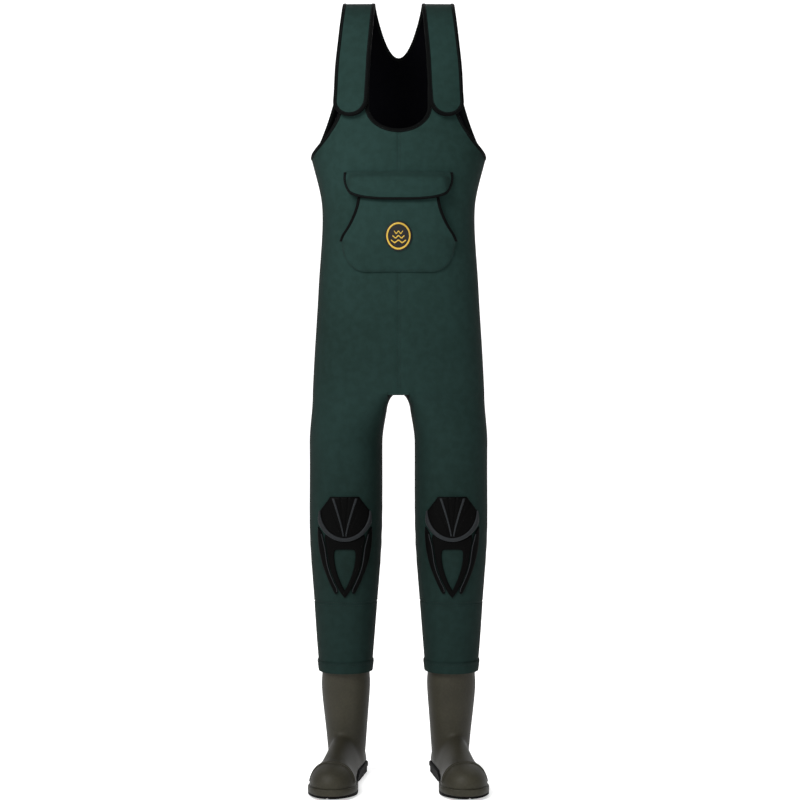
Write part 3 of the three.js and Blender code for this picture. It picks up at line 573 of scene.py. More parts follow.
# Rides a piece on its body, or bends it over the joint that it crosses.
def attach(piece, how, side="left"):
    x = sides[side] * legX
    if how == "torso":
        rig.ride(piece, "torso")
    elif how == "hip":
        top = (x, middleY, crotchZ + 0.004)
        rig.blend(piece, "torso", f"thigh_{side}", start=top, end=(x, middleY, hipBandZ))
    elif how == "knee":
        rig.blend(
            piece, f"thigh_{side}", f"shin_{side}",
            start=(x, middleY, kneeZ + 0.1), end=(x, middleY, kneeZ - 0.1),
        )
    elif how == "shin":
        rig.ride(piece, f"shin_{side}")
    elif how == "strap":
        crest = joints[f"strap_fold_{side}"]
        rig.blend(
            piece, "torso", f"body_strap_{side}",
            start=(crest.x, crest.y, crest.z), end=(crest.x, crest.y - 0.035, crest.z - 0.008),
        )
    elif how == "flap":
        hinge = joints["flap_fold"]
        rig.blend(piece, "torso", "flap", start=hinge, end=(hinge.x, hinge.y, hinge.z - 0.012))
    return piece


stitchLines = {}


# Keeps a stitched line for the sewing at the end.
def stitch(points, how, side="left"):
    stitchLines.setdefault((how, side), []).append(points)


# Camera and light

print("stage: camera and light")

view = {
    "height": 0.78, "distance": 3.3, "sideways": 0.003, "lens": 71.6,
    "surround": 0.37,
    "keyPower": 180, "keyAt": (-1.8, -2.6, 3.1), "keySize": 1.8,
    "fillPower": 5, "fillAt": (1.6, -3.4, 1.2), "fillSize": 1.8,
    "backPower": 30, "backAt": (0.4, 2.4, 2.8), "backSize": 2.0,
}

scene = bpy.context.scene
scene.view_settings.view_transform = "Standard"
cameraData = bpy.data.cameras.new("photoCamera")
cameraData.lens = view["lens"]
camera = bpy.data.objects.new("photoCamera", cameraData)
camera.location = (view["sideways"], middleY - view["distance"], view["height"])
camera.rotation_euler = (math.pi / 2, 0, 0)
scene.collection.objects.link(camera)
scene.camera = camera


def addLight(name, power, at, size):
    data = bpy.data.lights.new(name, "AREA")
    data.energy = power
    data.size = size
    lamp = bpy.data.objects.new(name, data)
    lamp.location = at
    aim = Vector((0, middleY, 0.85)) - Vector(at)
    lamp.rotation_euler = aim.to_track_quat("-Z", "Y").to_euler()
    scene.collection.objects.link(lamp)
    return lamp


lights = [
    addLight(f"{word}Light", view[f"{word}Power"], view[f"{word}At"], view[f"{word}Size"])
    for word in ("key", "fill", "back")
]
world = bpy.data.worlds.new("studio")
world.use_nodes = True
background = world.node_tree.nodes["Background"]
background.inputs["Color"].default_value = (1, 1, 1, 1)
background.inputs["Strength"].default_value = view["surround"]
scene.world = world


# Shared shader groups

# Short ways to add and join nodes in one tree.
class Graph:
    def __init__(self, tree):
        self.tree = tree
        self.nodes = tree.nodes

    def add(self, kind, **values):
        node = self.nodes.new(kind)
        for key, value in values.items():
            setattr(node, key, value)
        return node

    def join(self, source, target):
        self.tree.links.new(source, target)

    def feed(self, socket, value):
        if isinstance(value, bpy.types.NodeSocket):
            self.join(value, socket)
        else:
            socket.default_value = value

    def math(self, operation, *values):
        node = self.add("ShaderNodeMath", operation=operation)
        for socket, value in zip(node.inputs, values):
            self.feed(socket, value)
        return node.outputs[0]

    def blend(self, share, low, high):
        node = self.add("ShaderNodeMix", data_type="RGBA")
        self.feed(node.inputs["Factor"], share)
        self.feed(node.inputs[6], low)
        self.feed(node.inputs[7], high)
        return node.outputs[2]

    def ramp(self, value, low, high):
        node = self.add("ShaderNodeMapRange", interpolation_type="SMOOTHSTEP")
        self.feed(node.inputs["Value"], value)
        node.inputs["From Min"].default_value = low
        node.inputs["From Max"].default_value = high
        return node.outputs["Result"]


def shaderGroup(name, inputs, outputs):
    tree = bpy.data.node_groups.new(name, "ShaderNodeTree")
    for label, kind, value in inputs:
        socket = tree.interface.new_socket(label, in_out="INPUT", socket_type=kind)
        if value is not None:
            socket.default_value = value
    for label, kind in outputs:
        tree.interface.new_socket(label, in_out="OUTPUT", socket_type=kind)
    graph = Graph(tree)
    return tree, graph, graph.add("NodeGroupInput"), graph.add("NodeGroupOutput")


# Height of a knit or a woven tape, from a vector in metres.
def makeWeaveGroup():
    tree, graph, given, result = shaderGroup(
        "knitSurface",
        [("Vector", "NodeSocketVector", None), ("Pitch", "NodeSocketFloat", 0.0012)],
        [("Height", "NodeSocketFloat")],
    )
    split = graph.add("ShaderNodeSeparateXYZ")
    graph.join(given.outputs["Vector"], split.inputs[0])
    turn = graph.math("DIVIDE", 2 * math.pi, given.outputs["Pitch"])
    ribs = graph.math("SINE", graph.math("MULTIPLY", split.outputs[0], turn))
    lean = graph.math("ADD", split.outputs[1], graph.math("MULTIPLY", graph.math("ABSOLUTE", ribs), 0.0004))
    loops = graph.math("SINE", graph.math("MULTIPLY", lean, turn))
    both = graph.math("ADD", graph.math("MULTIPLY", ribs, 0.5), graph.math("MULTIPLY", loops, 0.35))
    graph.join(graph.math("ADD", both, 0.5), result.inputs["Height"])
    return tree


# A base colour with soft broad and fine variation in lightness.
def makeShadeGroup():
    tree, graph, given, result = shaderGroup(
        "wornColour",
        [
            ("Vector", "NodeSocketVector", None), ("Dark", "NodeSocketColor", (0, 0, 0, 1)),
            ("Light", "NodeSocketColor", (1, 1, 1, 1)), ("Broad", "NodeSocketFloat", 5.0),
            ("Fine", "NodeSocketFloat", 90.0),
        ],
        [("Color", "NodeSocketColor"), ("Fine Mask", "NodeSocketFloat")],
    )
    broad = graph.add("ShaderNodeTexNoise")
    fine = graph.add("ShaderNodeTexNoise")
    for node, scale in ((broad, "Broad"), (fine, "Fine")):
        graph.join(given.outputs["Vector"], node.inputs["Vector"])
        graph.join(given.outputs[scale], node.inputs["Scale"])
    fine.inputs["Detail"].default_value = 3.0
    share = graph.math(
        "ADD", graph.math("MULTIPLY", graph.ramp(broad.outputs["Fac"], 0.3, 0.7), 0.65),
        graph.math("MULTIPLY", graph.ramp(fine.outputs["Fac"], 0.3, 0.7), 0.35),
    )
    graph.join(graph.blend(share, given.outputs["Dark"], given.outputs["Light"]), result.inputs["Color"])
    graph.join(fine.outputs["Fac"], result.inputs["Fine Mask"])
    return tree


knitSurface = makeWeaveGroup()
wornColour = makeShadeGroup()


# An sRGB colour written as hex digits, as linear RGBA.
def linear(color):
    parts = [int(color[start:start + 2], 16) / 255 for start in (0, 2, 4)]
    return (*[part / 12.92 if part <= 0.04045 else ((part + 0.055) / 1.055) ** 2.4 for part in parts], 1.0)


# One surface from a dictionary: two colours, roughness, knit and grain.
def makeMaterial(name, look):
    material = bpy.data.materials.new(name)
    material.use_nodes = True
    graph = Graph(material.node_tree)
    surface = graph.nodes["Principled BSDF"]
    spots = graph.add("ShaderNodeTexCoord")
    shade = graph.add("ShaderNodeGroup", node_tree=wornColour)
    graph.join(spots.outputs["Object"], shade.inputs["Vector"])
    shade.inputs["Dark"].default_value = linear(look["dark"])
    shade.inputs["Light"].default_value = linear(look["light"])
    shade.inputs["Broad"].default_value = look.get("broad", 5.0)
    shade.inputs["Fine"].default_value = look.get("fine", 90.0)
    color = shade.outputs["Color"]
    # Painted shade: the colour darkens by height towards the feet, standing in for light that falls off lower down.
    if look.get("paintedLowShade"):
        height = graph.add("ShaderNodeSeparateXYZ")
        graph.join(spots.outputs["Object"], height.inputs[0])
        low = graph.math("SUBTRACT", 1.0, graph.ramp(height.outputs[2], 0.35, 1.25))
        color = graph.blend(graph.math("MULTIPLY", low, look["paintedLowShade"]), color, (0.0, 0.0, 0.0, 1.0))
    # Painted shade: where the surface turns away from view, the colour goes towards its dark tone and then black,
    # standing in for light falling off at the rims.
    if look.get("edge"):
        facing = graph.add("ShaderNodeLayerWeight")
        facing.inputs["Blend"].default_value = 0.5
        share = graph.math("MULTIPLY", graph.math("POWER", facing.outputs["Facing"], 2.0), look["edge"])
        color = graph.blend(share, color, linear(look["dark"])[:3] + (1,))
        color = graph.blend(share, color, (0.0, 0.0, 0.0, 1.0))
    graph.join(color, surface.inputs["Base Color"])
    surface.inputs["Roughness"].default_value = look["roughness"]
    surface.inputs["Specular IOR Level"].default_value = look.get("specular", 0.3)
    relief = graph.math("MULTIPLY", shade.outputs["Fine Mask"], look.get("grain", 0.0003))
    if look.get("knit"):
        cloth = graph.add("ShaderNodeGroup", node_tree=knitSurface)
        graph.join(spots.outputs["UV"], cloth.inputs["Vector"])
        cloth.inputs["Pitch"].default_value = look["knit"]
        relief = graph.math("ADD", relief, graph.math("MULTIPLY", cloth.outputs["Height"], look["knitDepth"]))
    raised = graph.add("ShaderNodeBump")
    raised.inputs["Distance"].default_value = 1.0
    raised.inputs["Strength"].default_value = look.get("bump", 0.6)
    graph.join(relief, raised.inputs["Height"])
    graph.join(raised.outputs["Normal"], surface.inputs["Normal"])
    return material


looks = {
    "bodyCloth": {
        "dark": "11231f", "light": "1b302d", "roughness": 0.85, "specular": 0.10,
        # edge and the low shade paint shade into the cloth's colour: darker at the rims and towards the feet.
        "edge": 0.75, "paintedLowShade": 0.40,
        "broad": 3.0, "fine": 70.0, "knit": 0.0016, "knitDepth": 0.00012, "grain": 0.00015,
    },
    "lining": {
        "dark": "010103", "light": "030305", "roughness": 0.9, "specular": 0.03,
        "knit": 0.0016, "knitDepth": 0.0001,
    },
    "binding": {
        "dark": "010202", "light": "040505", "roughness": 0.8, "specular": 0.06,
        "knit": 0.0010, "knitDepth": 0.0001, "grain": 0.0001,
    },
    "thread": {"dark": "0c1414", "light": "142020", "roughness": 0.7, "specular": 0.2},
    "tape": {
        "dark": "060708", "light": "101112", "roughness": 0.95, "fine": 900.0, "grain": 0.0012, "bump": 1.0,
    },
    "padRubber": {"dark": "010101", "light": "020202", "roughness": 0.6, "specular": 0.04, "fine": 260.0},
    "padRib": {"dark": "16181a", "light": "1e2123", "roughness": 0.6, "specular": 0.12, "fine": 260.0},
    "bootRubber": {
        # edge paints shade into the rubber's colour at its rims.
        "dark": "24221a", "light": "302e24", "roughness": 0.58, "specular": 0.18, "broad": 9.0, "edge": 0.6,
        "fine": 220.0, "grain": 0.00025,
    },
    "soleRubber": {"dark": "020202", "light": "050505", "roughness": 0.75, "specular": 0.08, "fine": 200.0},
    "insole": {"dark": "1c1d1e", "light": "2c2d2f", "roughness": 0.95, "fine": 300.0},
    "badgeGround": {
        "dark": "050506", "light": "0c0c0d", "roughness": 0.7, "knit": 0.0008, "knitDepth": 0.00008,
    },
    "badgeGold": {"dark": "7d5f14", "light": "c2a03a", "roughness": 0.5, "fine": 700.0, "grain": 0.0002},
}
materials = {name: makeMaterial(name, look) for name, look in looks.items()}
cloth = [materials["bodyCloth"], materials["lining"]]


# The trunk

print("stage: trunk panels")

trunk = {
    "seamDip": 0.0010, "seamReach": 0.0028, "underBinding": 0.0065, "columns": 26,
    "neckLap": 0.0015, "girth": 0.25,
}


# How far the cloth sinks into the seams at both edges of a panel.
def seamDip(share, girth):
    return trunk["seamDip"] * bump(min(share, 1 - share) * girth, trunk["seamReach"])


def trunkPanel(name, side, rows, sign):
    shares = crowded(trunk["columns"])

    def at(row, share, offset):
        z, inner = row
        outer = armholeX(side, z, trunk["underBinding"])
        inner = max(0.0, inner - trunk["neckLap"])
        x = alongGirth(inner, outer, share, z)
        dip = seamDip(share, trunk["girth"]) if offset == 0 and (inner == 0 or z < armCutZ) else 0.0
        return bodyPoint(side, x, z, offset - dip)

    return sheetPiece(name, rows, shares, at, cloth, body["fabric"], sign=sign)


# A folded tape over an edge: stops give at(share from cut to finished edge, offset).
def bindingTube(name, stops, material, thickness=body["fabric"], sign=1, closed=False, wrap=trim["wrap"]):
    sections = []
    for stop in stops:
        sections.append([
            stop((1 + along) / 2, mix(-thickness - wrap, wrap, (1 + across) / 2))
            for along, across in roundSection()
        ])
    return tubePiece(name, sections, [materials[material]], sign, closed)


def edgeStop(side, cut, finished):
    def at(share, offset):
        return bodyPoint(side, mix(cut[0], finished[0], share), mix(cut[1], finished[1], share), offset)
    return at


def armholeStops(side, rows):
    high = frontSpring if side < 0 else shoulderZ
    stops = []
    for z in [row[0] for row in rows if row[0] >= armCutZ - 1e-6]:
        share = clamp((z - armCutZ) / (high - armCutZ))
        finishedZ = max(z, mix(armholeZ, high, share))
        cut = (armholeX(side, z, trim["width"]), z)
        stops.append(edgeStop(side, cut, (armholeX(side, finishedZ, 0), finishedZ)))
    return stops


def bothHalves(half):
    flipped = [((-cut[0], cut[1]), (-finished[0], finished[1])) for cut, finished in half]
    return [*reversed(flipped[1:]), *half]


tapedRows = [(z, 0.0) for z in evenly(armCutZ, armCutZ + 0.02, 6)]
frontTaped = tapedRows + [row for row in bibRows if row[0] > armCutZ + 0.021]
backTaped = tapedRows + [row for row in backRows if row[0] > armCutZ + 0.021]
neckEdge = bothHalves(
    [(neckPoint(angle, trim["width"]), neckPoint(angle, 0)) for angle in neckAngles]
    + [((neck["half"] + trim["width"], z), (neck["half"], z)) for z in tabRows]
)
backLowFinished = shoulderZ - neck["backDepth"]
armholeEdge = [*reversed(armholeStops(-1, frontTaped)), *armholeStops(1, backTaped)[1:]]


def backNeckEdge():
    half = []
    for z in shoulderRows:
        share = (z - backNeckLow) / (shoulderZ - backNeckLow)
        finishedZ = mix(backLowFinished, shoulderZ, share)
        half.append(((backNeckX(z, trim["width"]), z), (backNeckX(finishedZ, 0), finishedZ)))
    return bothHalves(half)


for side, sign in sides.items():
    bib = trunkPanel(f"bibFront{side.title()}", -1, bibRows, sign)
    back = trunkPanel(f"backPanel{side.title()}", 1, backRows, sign)
    arm = bindingTube(f"armholeBinding{side.title()}", armholeEdge, "binding", sign=sign)
    for piece, node in ((bib, "bib_front"), (back, "back_panel"), (arm, "armhole_binding")):
        attach(piece, "torso")
        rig.replaces(piece, f"{node}_{side}")
for name, side, edge, node in (
    ("neckBinding", -1, neckEdge, "neck_binding"),
    ("backNeckBinding", 1, backNeckEdge(), "back_neck_binding"),
):
    stops = [edgeStop(side, cut, finished) for cut, finished in edge]
    band = attach(bindingTube(name, stops, "binding"), "torso")
    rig.replaces(band, node)

frontHip, backHip = lowOf("crotch_gusset").y, highOf("crotch_gusset").y


def gussetAt(row, share, offset):
    half = gussetHalf - drops["seamGap"]
    return Vector((mix(-half, half, share), mix(frontHip, backHip, row), crotchZ - 0.00015 + offset))


gusset = sheetPiece("crotchGusset", crowded(40), crowded(10), gussetAt, cloth, body["fabric"])
attach(gusset, "torso")
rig.replaces(gusset, "crotch_gusset")


# The legs

print("stage: legs")

legCloth = {
    "around": 96, "thighSeamZ": kneeZ + 0.14, "calfSeamZ": kneeZ - 0.135,
    "seamDip": 0.0009, "seamReach": 0.0025, "inseam": 0.0008, "crotchTapeShadeZ": crotchZ - 0.045,
}


def legAngles(count):
    return [2 * math.pi * step / count for step in range(count)]


# A sleeve of the leg between two heights, sunk a little at its sewn ends.
def legTube(name, low, high, rowCount, dips, sign):
    rows = [mix(low, high, share) for share in crowded(rowCount, (0.002, 0.005, 0.012))]

    def at(z, angle, offset):
        sink = sum(bump(z - height, legCloth["seamReach"]) for height in dips) * legCloth["seamDip"]
        inner = bump(angle - math.pi, 0.035) + bump(min(angle, 2 * math.pi - angle), 0.03)
        sink += legCloth["inseam"] * inner
        return legPoint(angle, z, offset - (sink if offset == 0 else 0.0))

    sleeve = sheetPiece(
        name, rows, legAngles(legCloth["around"]), at,
        [*cloth, materials["binding"]], body["fabric"], closed=True, sign=sign,
    )
    # Faces high on the inner side by the crotch take the black binding: partly a crotch seam tape, partly painted
    # shade where the legs meet.
    for polygon in sleeve.data.polygons:
        if polygon.center.z > legCloth["crotchTapeShadeZ"] and abs(polygon.center.x) < gussetHalf * 0.98:
            polygon.material_index = 2
    return sleeve


hemBand = {"height": 0.022, "lift": 0.0006, "thickness": 0.0012, "bulge": 0.0004}


def hemAt(share, angle, offset):
    z = hemZ + hemBand["height"] * share
    lift = hemBand["lift"] + hemBand["thickness"] + hemBand["bulge"] * math.sin(math.pi * share)
    return legPoint(angle, z, lift + offset)


def hemStitches(sign):
    for z in (hemZ + hemBand["height"] - 0.003, hemZ + hemBand["height"] - 0.0055):
        over = hemBand["lift"] + hemBand["thickness"] + 0.0006
        yield [legPoint(angle, z, over) for angle in legAngles(160)]


for side, sign in sides.items():
    word = side.title()
    upper = legTube(f"upperLeg{word}", legCloth["thighSeamZ"], crotchZ, 60, [], sign)
    attach(upper, "hip", side)
    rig.replaces(upper, f"hip_band_{side}", f"thigh_front_{side}", f"thigh_back_{side}")
    calfSeamZ, thighSeamZ = legCloth["calfSeamZ"], legCloth["thighSeamZ"]
    knee = legTube(f"kneeSleeve{word}", calfSeamZ, thighSeamZ, 90, [calfSeamZ], sign)
    attach(knee, "knee", side)
    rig.replaces(knee, f"knee_band_{side}")
    calf = legTube(f"calfSleeve{word}", hemZ, legCloth["calfSeamZ"], 40, [legCloth["calfSeamZ"]], sign)
    attach(calf, "shin", side)
    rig.replaces(calf, f"shin_front_{side}", f"shin_back_{side}")
    hem = sheetPiece(
        f"legHem{word}", crowded(6, (0.01, 0.04, 0.08)), legAngles(legCloth["around"]), hemAt,
        [materials["bodyCloth"]], hemBand["thickness"], closed=True, sign=sign,
    )
    attach(hem, "shin", side)
    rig.replaces(hem, f"leg_hem_{side}")


# Straps

print("stage: straps")

strapRise = shoulderZ - frontSpring
strapEndZ = frontSpring - strap["endDrop"] + strap["half"]
strapTurns = evenly(math.asin((strapEndZ - frontSpring) / strapRise), math.pi / 2, 46)
strapHeights = [frontSpring + strapRise * math.sin(turn) for turn in strapTurns]
strapEndAngles = evenly(math.radians(6), math.pi / 2, 16)


def strapCentreX(z):
    return mix(strap["endX"], strap["crestX"], clamp((z - frontSpring) / strapRise))


def strapPoint(x, z, offset):
    turn = math.asin(clamp((z - frontSpring) / strapRise))
    lift = (strap["space"] + body["fabric"]) * (1 - ease((turn - strap["liftFrom"]) / strap["liftOver"]))
    lift += strap["ripple"] * math.sin(z * 60 + x * 20) * math.cos(turn)
    return bodyPoint(-1, x, z, lift + offset) + Vector((0, -0.00015, 0))


# Rows of the strap from its round end up, as height and half width.
def strapGrid():
    radius = strap["half"] - trunk["underBinding"]
    rows = [(strapEndZ - radius * math.cos(turn), radius * math.sin(turn)) for turn in strapEndAngles]
    return rows + [(z, radius) for z in strapHeights[1:]]


def strapAt(row, share, offset):
    z, half = row
    return strapPoint(strapCentreX(z) + mix(-half, half, share), z, offset)


# Stops of the strap's binding: up one side, round the end and up the other.
def strapEdge():
    def stop(spot):
        def at(share, offset):
            x, z = spot(mix(strap["half"] - trim["width"], strap["half"], share))
            return strapPoint(x, z, offset)
        return at

    def along(z, hand):
        return stop(lambda radius: (strapCentreX(z) + hand * radius, z))

    def around(turn):
        def spot(radius):
            z = strapEndZ - radius * math.cos(turn)
            return strapCentreX(z) + radius * math.sin(turn), z
        return stop(spot)

    turns = [-turn for turn in reversed(strapEndAngles)] + [0.0] + strapEndAngles
    runs = strapHeights[1:]
    front, back = [along(z, -1) for z in reversed(runs)], [along(z, 1) for z in runs]
    return [*front, *[around(turn) for turn in turns], *back]


tapes = {"thickness": 0.0012, "gap": 0.0003, "margin": 0.012}


def strapTape(name, offset, sign):
    rows = evenly(frontSpring + trim["width"], tabTop - 0.002, 12)
    half = 0.030 - tapes["margin"]
    centre = armhole["tabOuter"] - 0.030

    def at(z, share, shift):
        return bodyPoint(-1, centre + mix(-half, half, share), z, offset + tapes["thickness"] + shift)

    return sheetPiece(name, rows, evenly(0, 1, 10), at, [materials["tape"]], tapes["thickness"], sign=sign)


for side, sign in sides.items():
    word = side.title()
    belt = sheetPiece(
        f"strap{word}", strapGrid(), crowded(14, (0.02, 0.06, 0.12)), strapAt,
        [materials["bodyCloth"], materials["lining"]], body["fabric"], sign=sign,
    )
    edge = bindingTube(f"strapBinding{word}", strapEdge(), "binding", sign=sign)
    hooks = strapTape(f"strapHooks{word}", tapes["thickness"] + 2 * tapes["gap"], sign)
    loops = strapTape(f"strapLoops{word}", tapes["gap"], sign)
    for piece, node in ((belt, "strap"), (edge, "strap_binding"), (hooks, "strap_hook_tape")):
        attach(piece, "strap", side)
        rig.replaces(piece, f"{node}_{side}")
    attach(loops, "torso")
    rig.replaces(loops, f"strap_loop_tape_{side}")


# Pocket and flap

print("stage: pocket")

pocket = {
    "openingHalf": 0.076, "half": 0.112, "cornerHalf": 0.065, "openingLow": 0.062, "openingHigh": 0.152,
    "room": 0.013, "lift": 0.0008, "fabric": 0.003, "trim": 0.006,
    "flapHalf": 0.108, "flapDrop": 0.059, "flapOverhang": 0.016, "flapInset": 0.005,
}
openLow = pouchLow + pocket["openingLow"]
openHigh = pouchLow + pocket["openingHigh"]
cornerZ = openLow - 0.005


def pouchEdgeX(z):
    if z >= openHigh:
        return pocket["openingHalf"]
    if z >= cornerZ:
        share = (openHigh - z) / (openHigh - openLow)
        return pocket["openingHalf"] + (pocket["half"] - pocket["openingHalf"]) * min(1.0, share) ** 2
    drop = (cornerZ - z) / (cornerZ - pouchLow)
    return mix(pocket["cornerHalf"], pocket["half"], math.sqrt(max(0.0, 1 - drop ** 2)))


def pouchStand(x, z):
    rise = ease((z - pouchLow) / 0.07) * (1 - 0.6 * ease((z - openLow - 0.04) / 0.095))
    sewn = 1 - min(1.0, abs(x) / pouchEdgeX(z)) ** 4
    opened = ease((z - openLow + 0.014) / 0.03)
    return pocket["lift"] + pocket["room"] * rise * mix(sewn, 1.0, opened)


def onBib(x, z, offset):
    return bodyPoint(-1, x, z, offset) + Vector((0, -0.00015, 0))


pouchTurns = evenly(math.pi / 2, math.radians(4), 18)
pouchRows = [cornerZ - (cornerZ - pouchLow) * math.sin(turn) for turn in pouchTurns]
openingRows = evenly(openLow, openHigh, 24)
pouchRows += openingRows + evenly(openHigh, pouchTop, 8)[1:]


def pouchAt(z, share, offset):
    trimmed = 0.0045 if openLow - 1e-6 <= z <= openHigh + 1e-6 else 0.0
    half = pouchEdgeX(z) - trimmed
    x = mix(-half, half, share)
    if offset < 0:
        return onBib(x, z, pouchStand(x, z))
    edge = bump(half - abs(x), 0.0035) if z < openLow else 0.0
    foot = bump(z - pouchLow, 0.0035) if z < openLow else 0.0
    return onBib(x, z, pouchStand(x, z) + pocket["fabric"] * (1 - 0.35 * max(edge, foot)))


def openingEdge(hand):
    def stop(z):
        def at(share, offset):
            x = pouchEdgeX(z) - pocket["trim"] * (1 - share)
            wrap = trim["wrap"]
            lift = pouchStand(x, z) + mix(-wrap / 2, pocket["fabric"] + wrap, (offset + wrap) / (2 * wrap))
            return onBib(hand * x, z, lift)
        return at
    return [stop(z) for z in openingRows]


def pouchSkin(x, z):
    return pouchStand(x, z) + pocket["fabric"]


def flapEdge(angle, inset):
    x = (pocket["flapHalf"] - inset) * max(0.0, math.cos(angle)) ** (2 / 3)
    return x, flapTop - (pocket["flapDrop"] - inset) * max(0.0, math.sin(angle)) ** (2 / 3)


def flapLift(x, z):
    reach = abs(x)
    over = pouchSkin(min(reach, pocket["openingHalf"]), min(z, pouchTop))
    over += 2 * tapes["thickness"] + 4 * tapes["gap"]
    beside = mix(over, 3 * pocket["lift"], ease((reach - pocket["openingHalf"] - 0.006) / 0.024))
    return mix(pocket["lift"], beside, ease((flapTop - z) / pocket["flapOverhang"]))


flapTurns = evenly(0, math.radians(86), 34)


def flapAt(turn, share, offset):
    edge, z = flapEdge(turn, pocket["flapInset"] - 0.0015)
    x = mix(-edge, edge, share)
    if offset < 0:
        return onBib(x, z, flapLift(x, z))
    rolled = 0.4 * bump(z - flapTop, 0.003)
    return onBib(x, z, flapLift(x, z) + pocket["fabric"] * (1 - rolled))


def flapBindingStops():
    def stop(turn, hand):
        def at(share, offset):
            x, z = flapEdge(turn, pocket["flapInset"] * (1 - share))
            wrap = trim["wrap"]
            lift = flapLift(x, z) + mix(-wrap / 4, pocket["fabric"] + wrap, (offset + wrap) / (2 * wrap))
            return onBib(hand * x, z, lift)
        return at

    turns = evenly(0, math.pi / 2, 40)
    return [stop(turn, -1) for turn in turns] + [stop(turn, 1) for turn in reversed(turns[:-1])]


pouch = sheetPiece(
    "pocketPouch", pouchRows, crowded(40, (0.006, 0.016, 0.03)), pouchAt,
    [materials["bodyCloth"], materials["lining"]], pocket["fabric"],
)
attach(pouch, "torso")
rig.replaces(pouch, "pocket_pouch")
for side, sign in sides.items():
    band = bindingTube(f"openingBinding{side.title()}", openingEdge(sign), "binding", thickness=0.0)
    attach(band, "torso")
    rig.replaces(band, f"pocket_opening_binding_{side}")
flap = sheetPiece(
    "pocketFlap", flapTurns, crowded(40, (0.006, 0.016, 0.03)), flapAt,
    [materials["bodyCloth"], materials["lining"]], pocket["fabric"],
)
attach(flap, "flap")
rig.replaces(flap, "pocket_flap")
flapBand = bindingTube("flapBinding", flapBindingStops(), "binding", thickness=0.0)
attach(flapBand, "flap")
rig.replaces(flapBand, "flap_binding")


def flapTape(name, lift):
    low = flapTop - pocket["flapDrop"] + 0.012

    def at(z, share, shift):
        x = mix(-0.028, 0.028, share)
        return onBib(x, z, pouchSkin(x, z) + lift + tapes["thickness"] + shift)

    rows = evenly(low, low + 0.018, 6)
    return sheetPiece(name, rows, evenly(0, 1, 12), at, [materials["tape"]], tapes["thickness"])


loops = attach(flapTape("pocketLoops", tapes["gap"]), "torso")
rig.replaces(loops, "pocket_loop_tape")
hooks = attach(flapTape("flapHooks", tapes["thickness"] + 2 * tapes["gap"]), "flap")
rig.replaces(hooks, "flap_hook_tape")


# Knee pads

print("stage: knee pads")

pad = {
    "capHalf": 0.049, "capTopHalf": 0.0285, "shoulder": 0.055, "top": 0.084,
    "capThickness": 0.005, "lift": 0.0008, "guardThickness": 0.003,
    "ribHeight": 0.0026, "ribWidth": 0.0040, "pipingIn": -0.0022, "pipingOut": 0.0062,
}
capArc = pad["shoulder"] + 0.001


# Height of a moulded pad over the cloth: a rounded rim and a slightly domed middle.
def padShape(x, z, crown, half):
    rim = math.sqrt(max(0.0, 1 - (1 - clamp(half / 0.004)) ** 2))
    return pad["lift"] + crown * mix(0.35, 1.0, rim)


capTurns = evenly(math.radians(6), math.pi / 2, 22)
capRows = [
    (kneeZ + pad["shoulder"] - capArc * math.cos(turn), pad["capHalf"] * math.sin(turn)) for turn in capTurns
]
capRows += [
    (kneeZ + mix(pad["shoulder"], pad["top"], share), mix(pad["capHalf"], pad["capTopHalf"], share))
    for share in evenly(0, 1, 12)[1:]
]
ribSpots = (-0.40, 0.40)


# The cap fans out from its lowest point; three grooves run up between its ridges.
def capAt(row, share, offset):
    z, half = row
    across = mix(-1, 1, share)
    x = across * half
    if offset < 0:
        return shinPoint(x, z, pad["lift"])
    low = kneeZ + pad["shoulder"] - capArc
    climb = clamp((z - low) / (pad["top"] + capArc - pad["shoulder"]))
    edge = min(half - abs(x), kneeZ + pad["top"] - z)
    dome = pad["capThickness"] * (0.72 + 0.28 * (1 - across ** 2))
    groove = 0.0
    for spot in (-0.72, -0.14, 0.14, 0.72):
        groove = max(groove, bump(x - spot * pad["capHalf"] * climb * 1.1, 0.0016))
    height = padShape(x, z, dome, edge) - 0.0014 * groove * clamp(climb * 3)
    return shinPoint(x, z, height)


# Half of the guard's outer and inner outlines, from the top centre to the tip.
guardOuter = [
    (0, 0, -0.0060), (0.1, 0.018, -0.0035), (0.17, 0.030, 0.0015), (0.22, 0.0385, 0.0065),
    (0.26, 0.0398, -0.003),
    (0.32, 0.0362, -0.020), (0.45, 0.032, -0.050),
    (0.6, 0.027, -0.070), (0.75, 0.019, -0.090), (0.88, 0.009, -0.110), (1, 0, -0.122),
]
guardInner = [
    (0, 0, -0.023), (0.12, 0.012, -0.0232), (0.2, 0.0185, -0.0245), (0.28, 0.021, -0.031),
    (0.45, 0.020, -0.050),
    (0.6, 0.016, -0.068), (0.75, 0.0105, -0.084), (0.88, 0.0045, -0.098), (1, 0, -0.106),
]


def outline(stations, turn):
    hand = 1 if turn <= 0.5 else -1
    share = min(1.0, 2 * (turn if turn <= 0.5 else 1 - turn))
    x = smoothThrough([(step, across) for step, across, _ in stations], share)
    z = smoothThrough([(step, height) for step, _, height in stations], share)
    return Vector((hand * x, kneeZ + z))


def guardStop(turn):
    inner, outer = outline(guardInner, turn), outline(guardOuter, turn)

    def at(along, offset):
        spot = inner.lerp(outer, along)
        return shinPoint(spot.x, spot.y, pad["lift"] + offset)
    return at


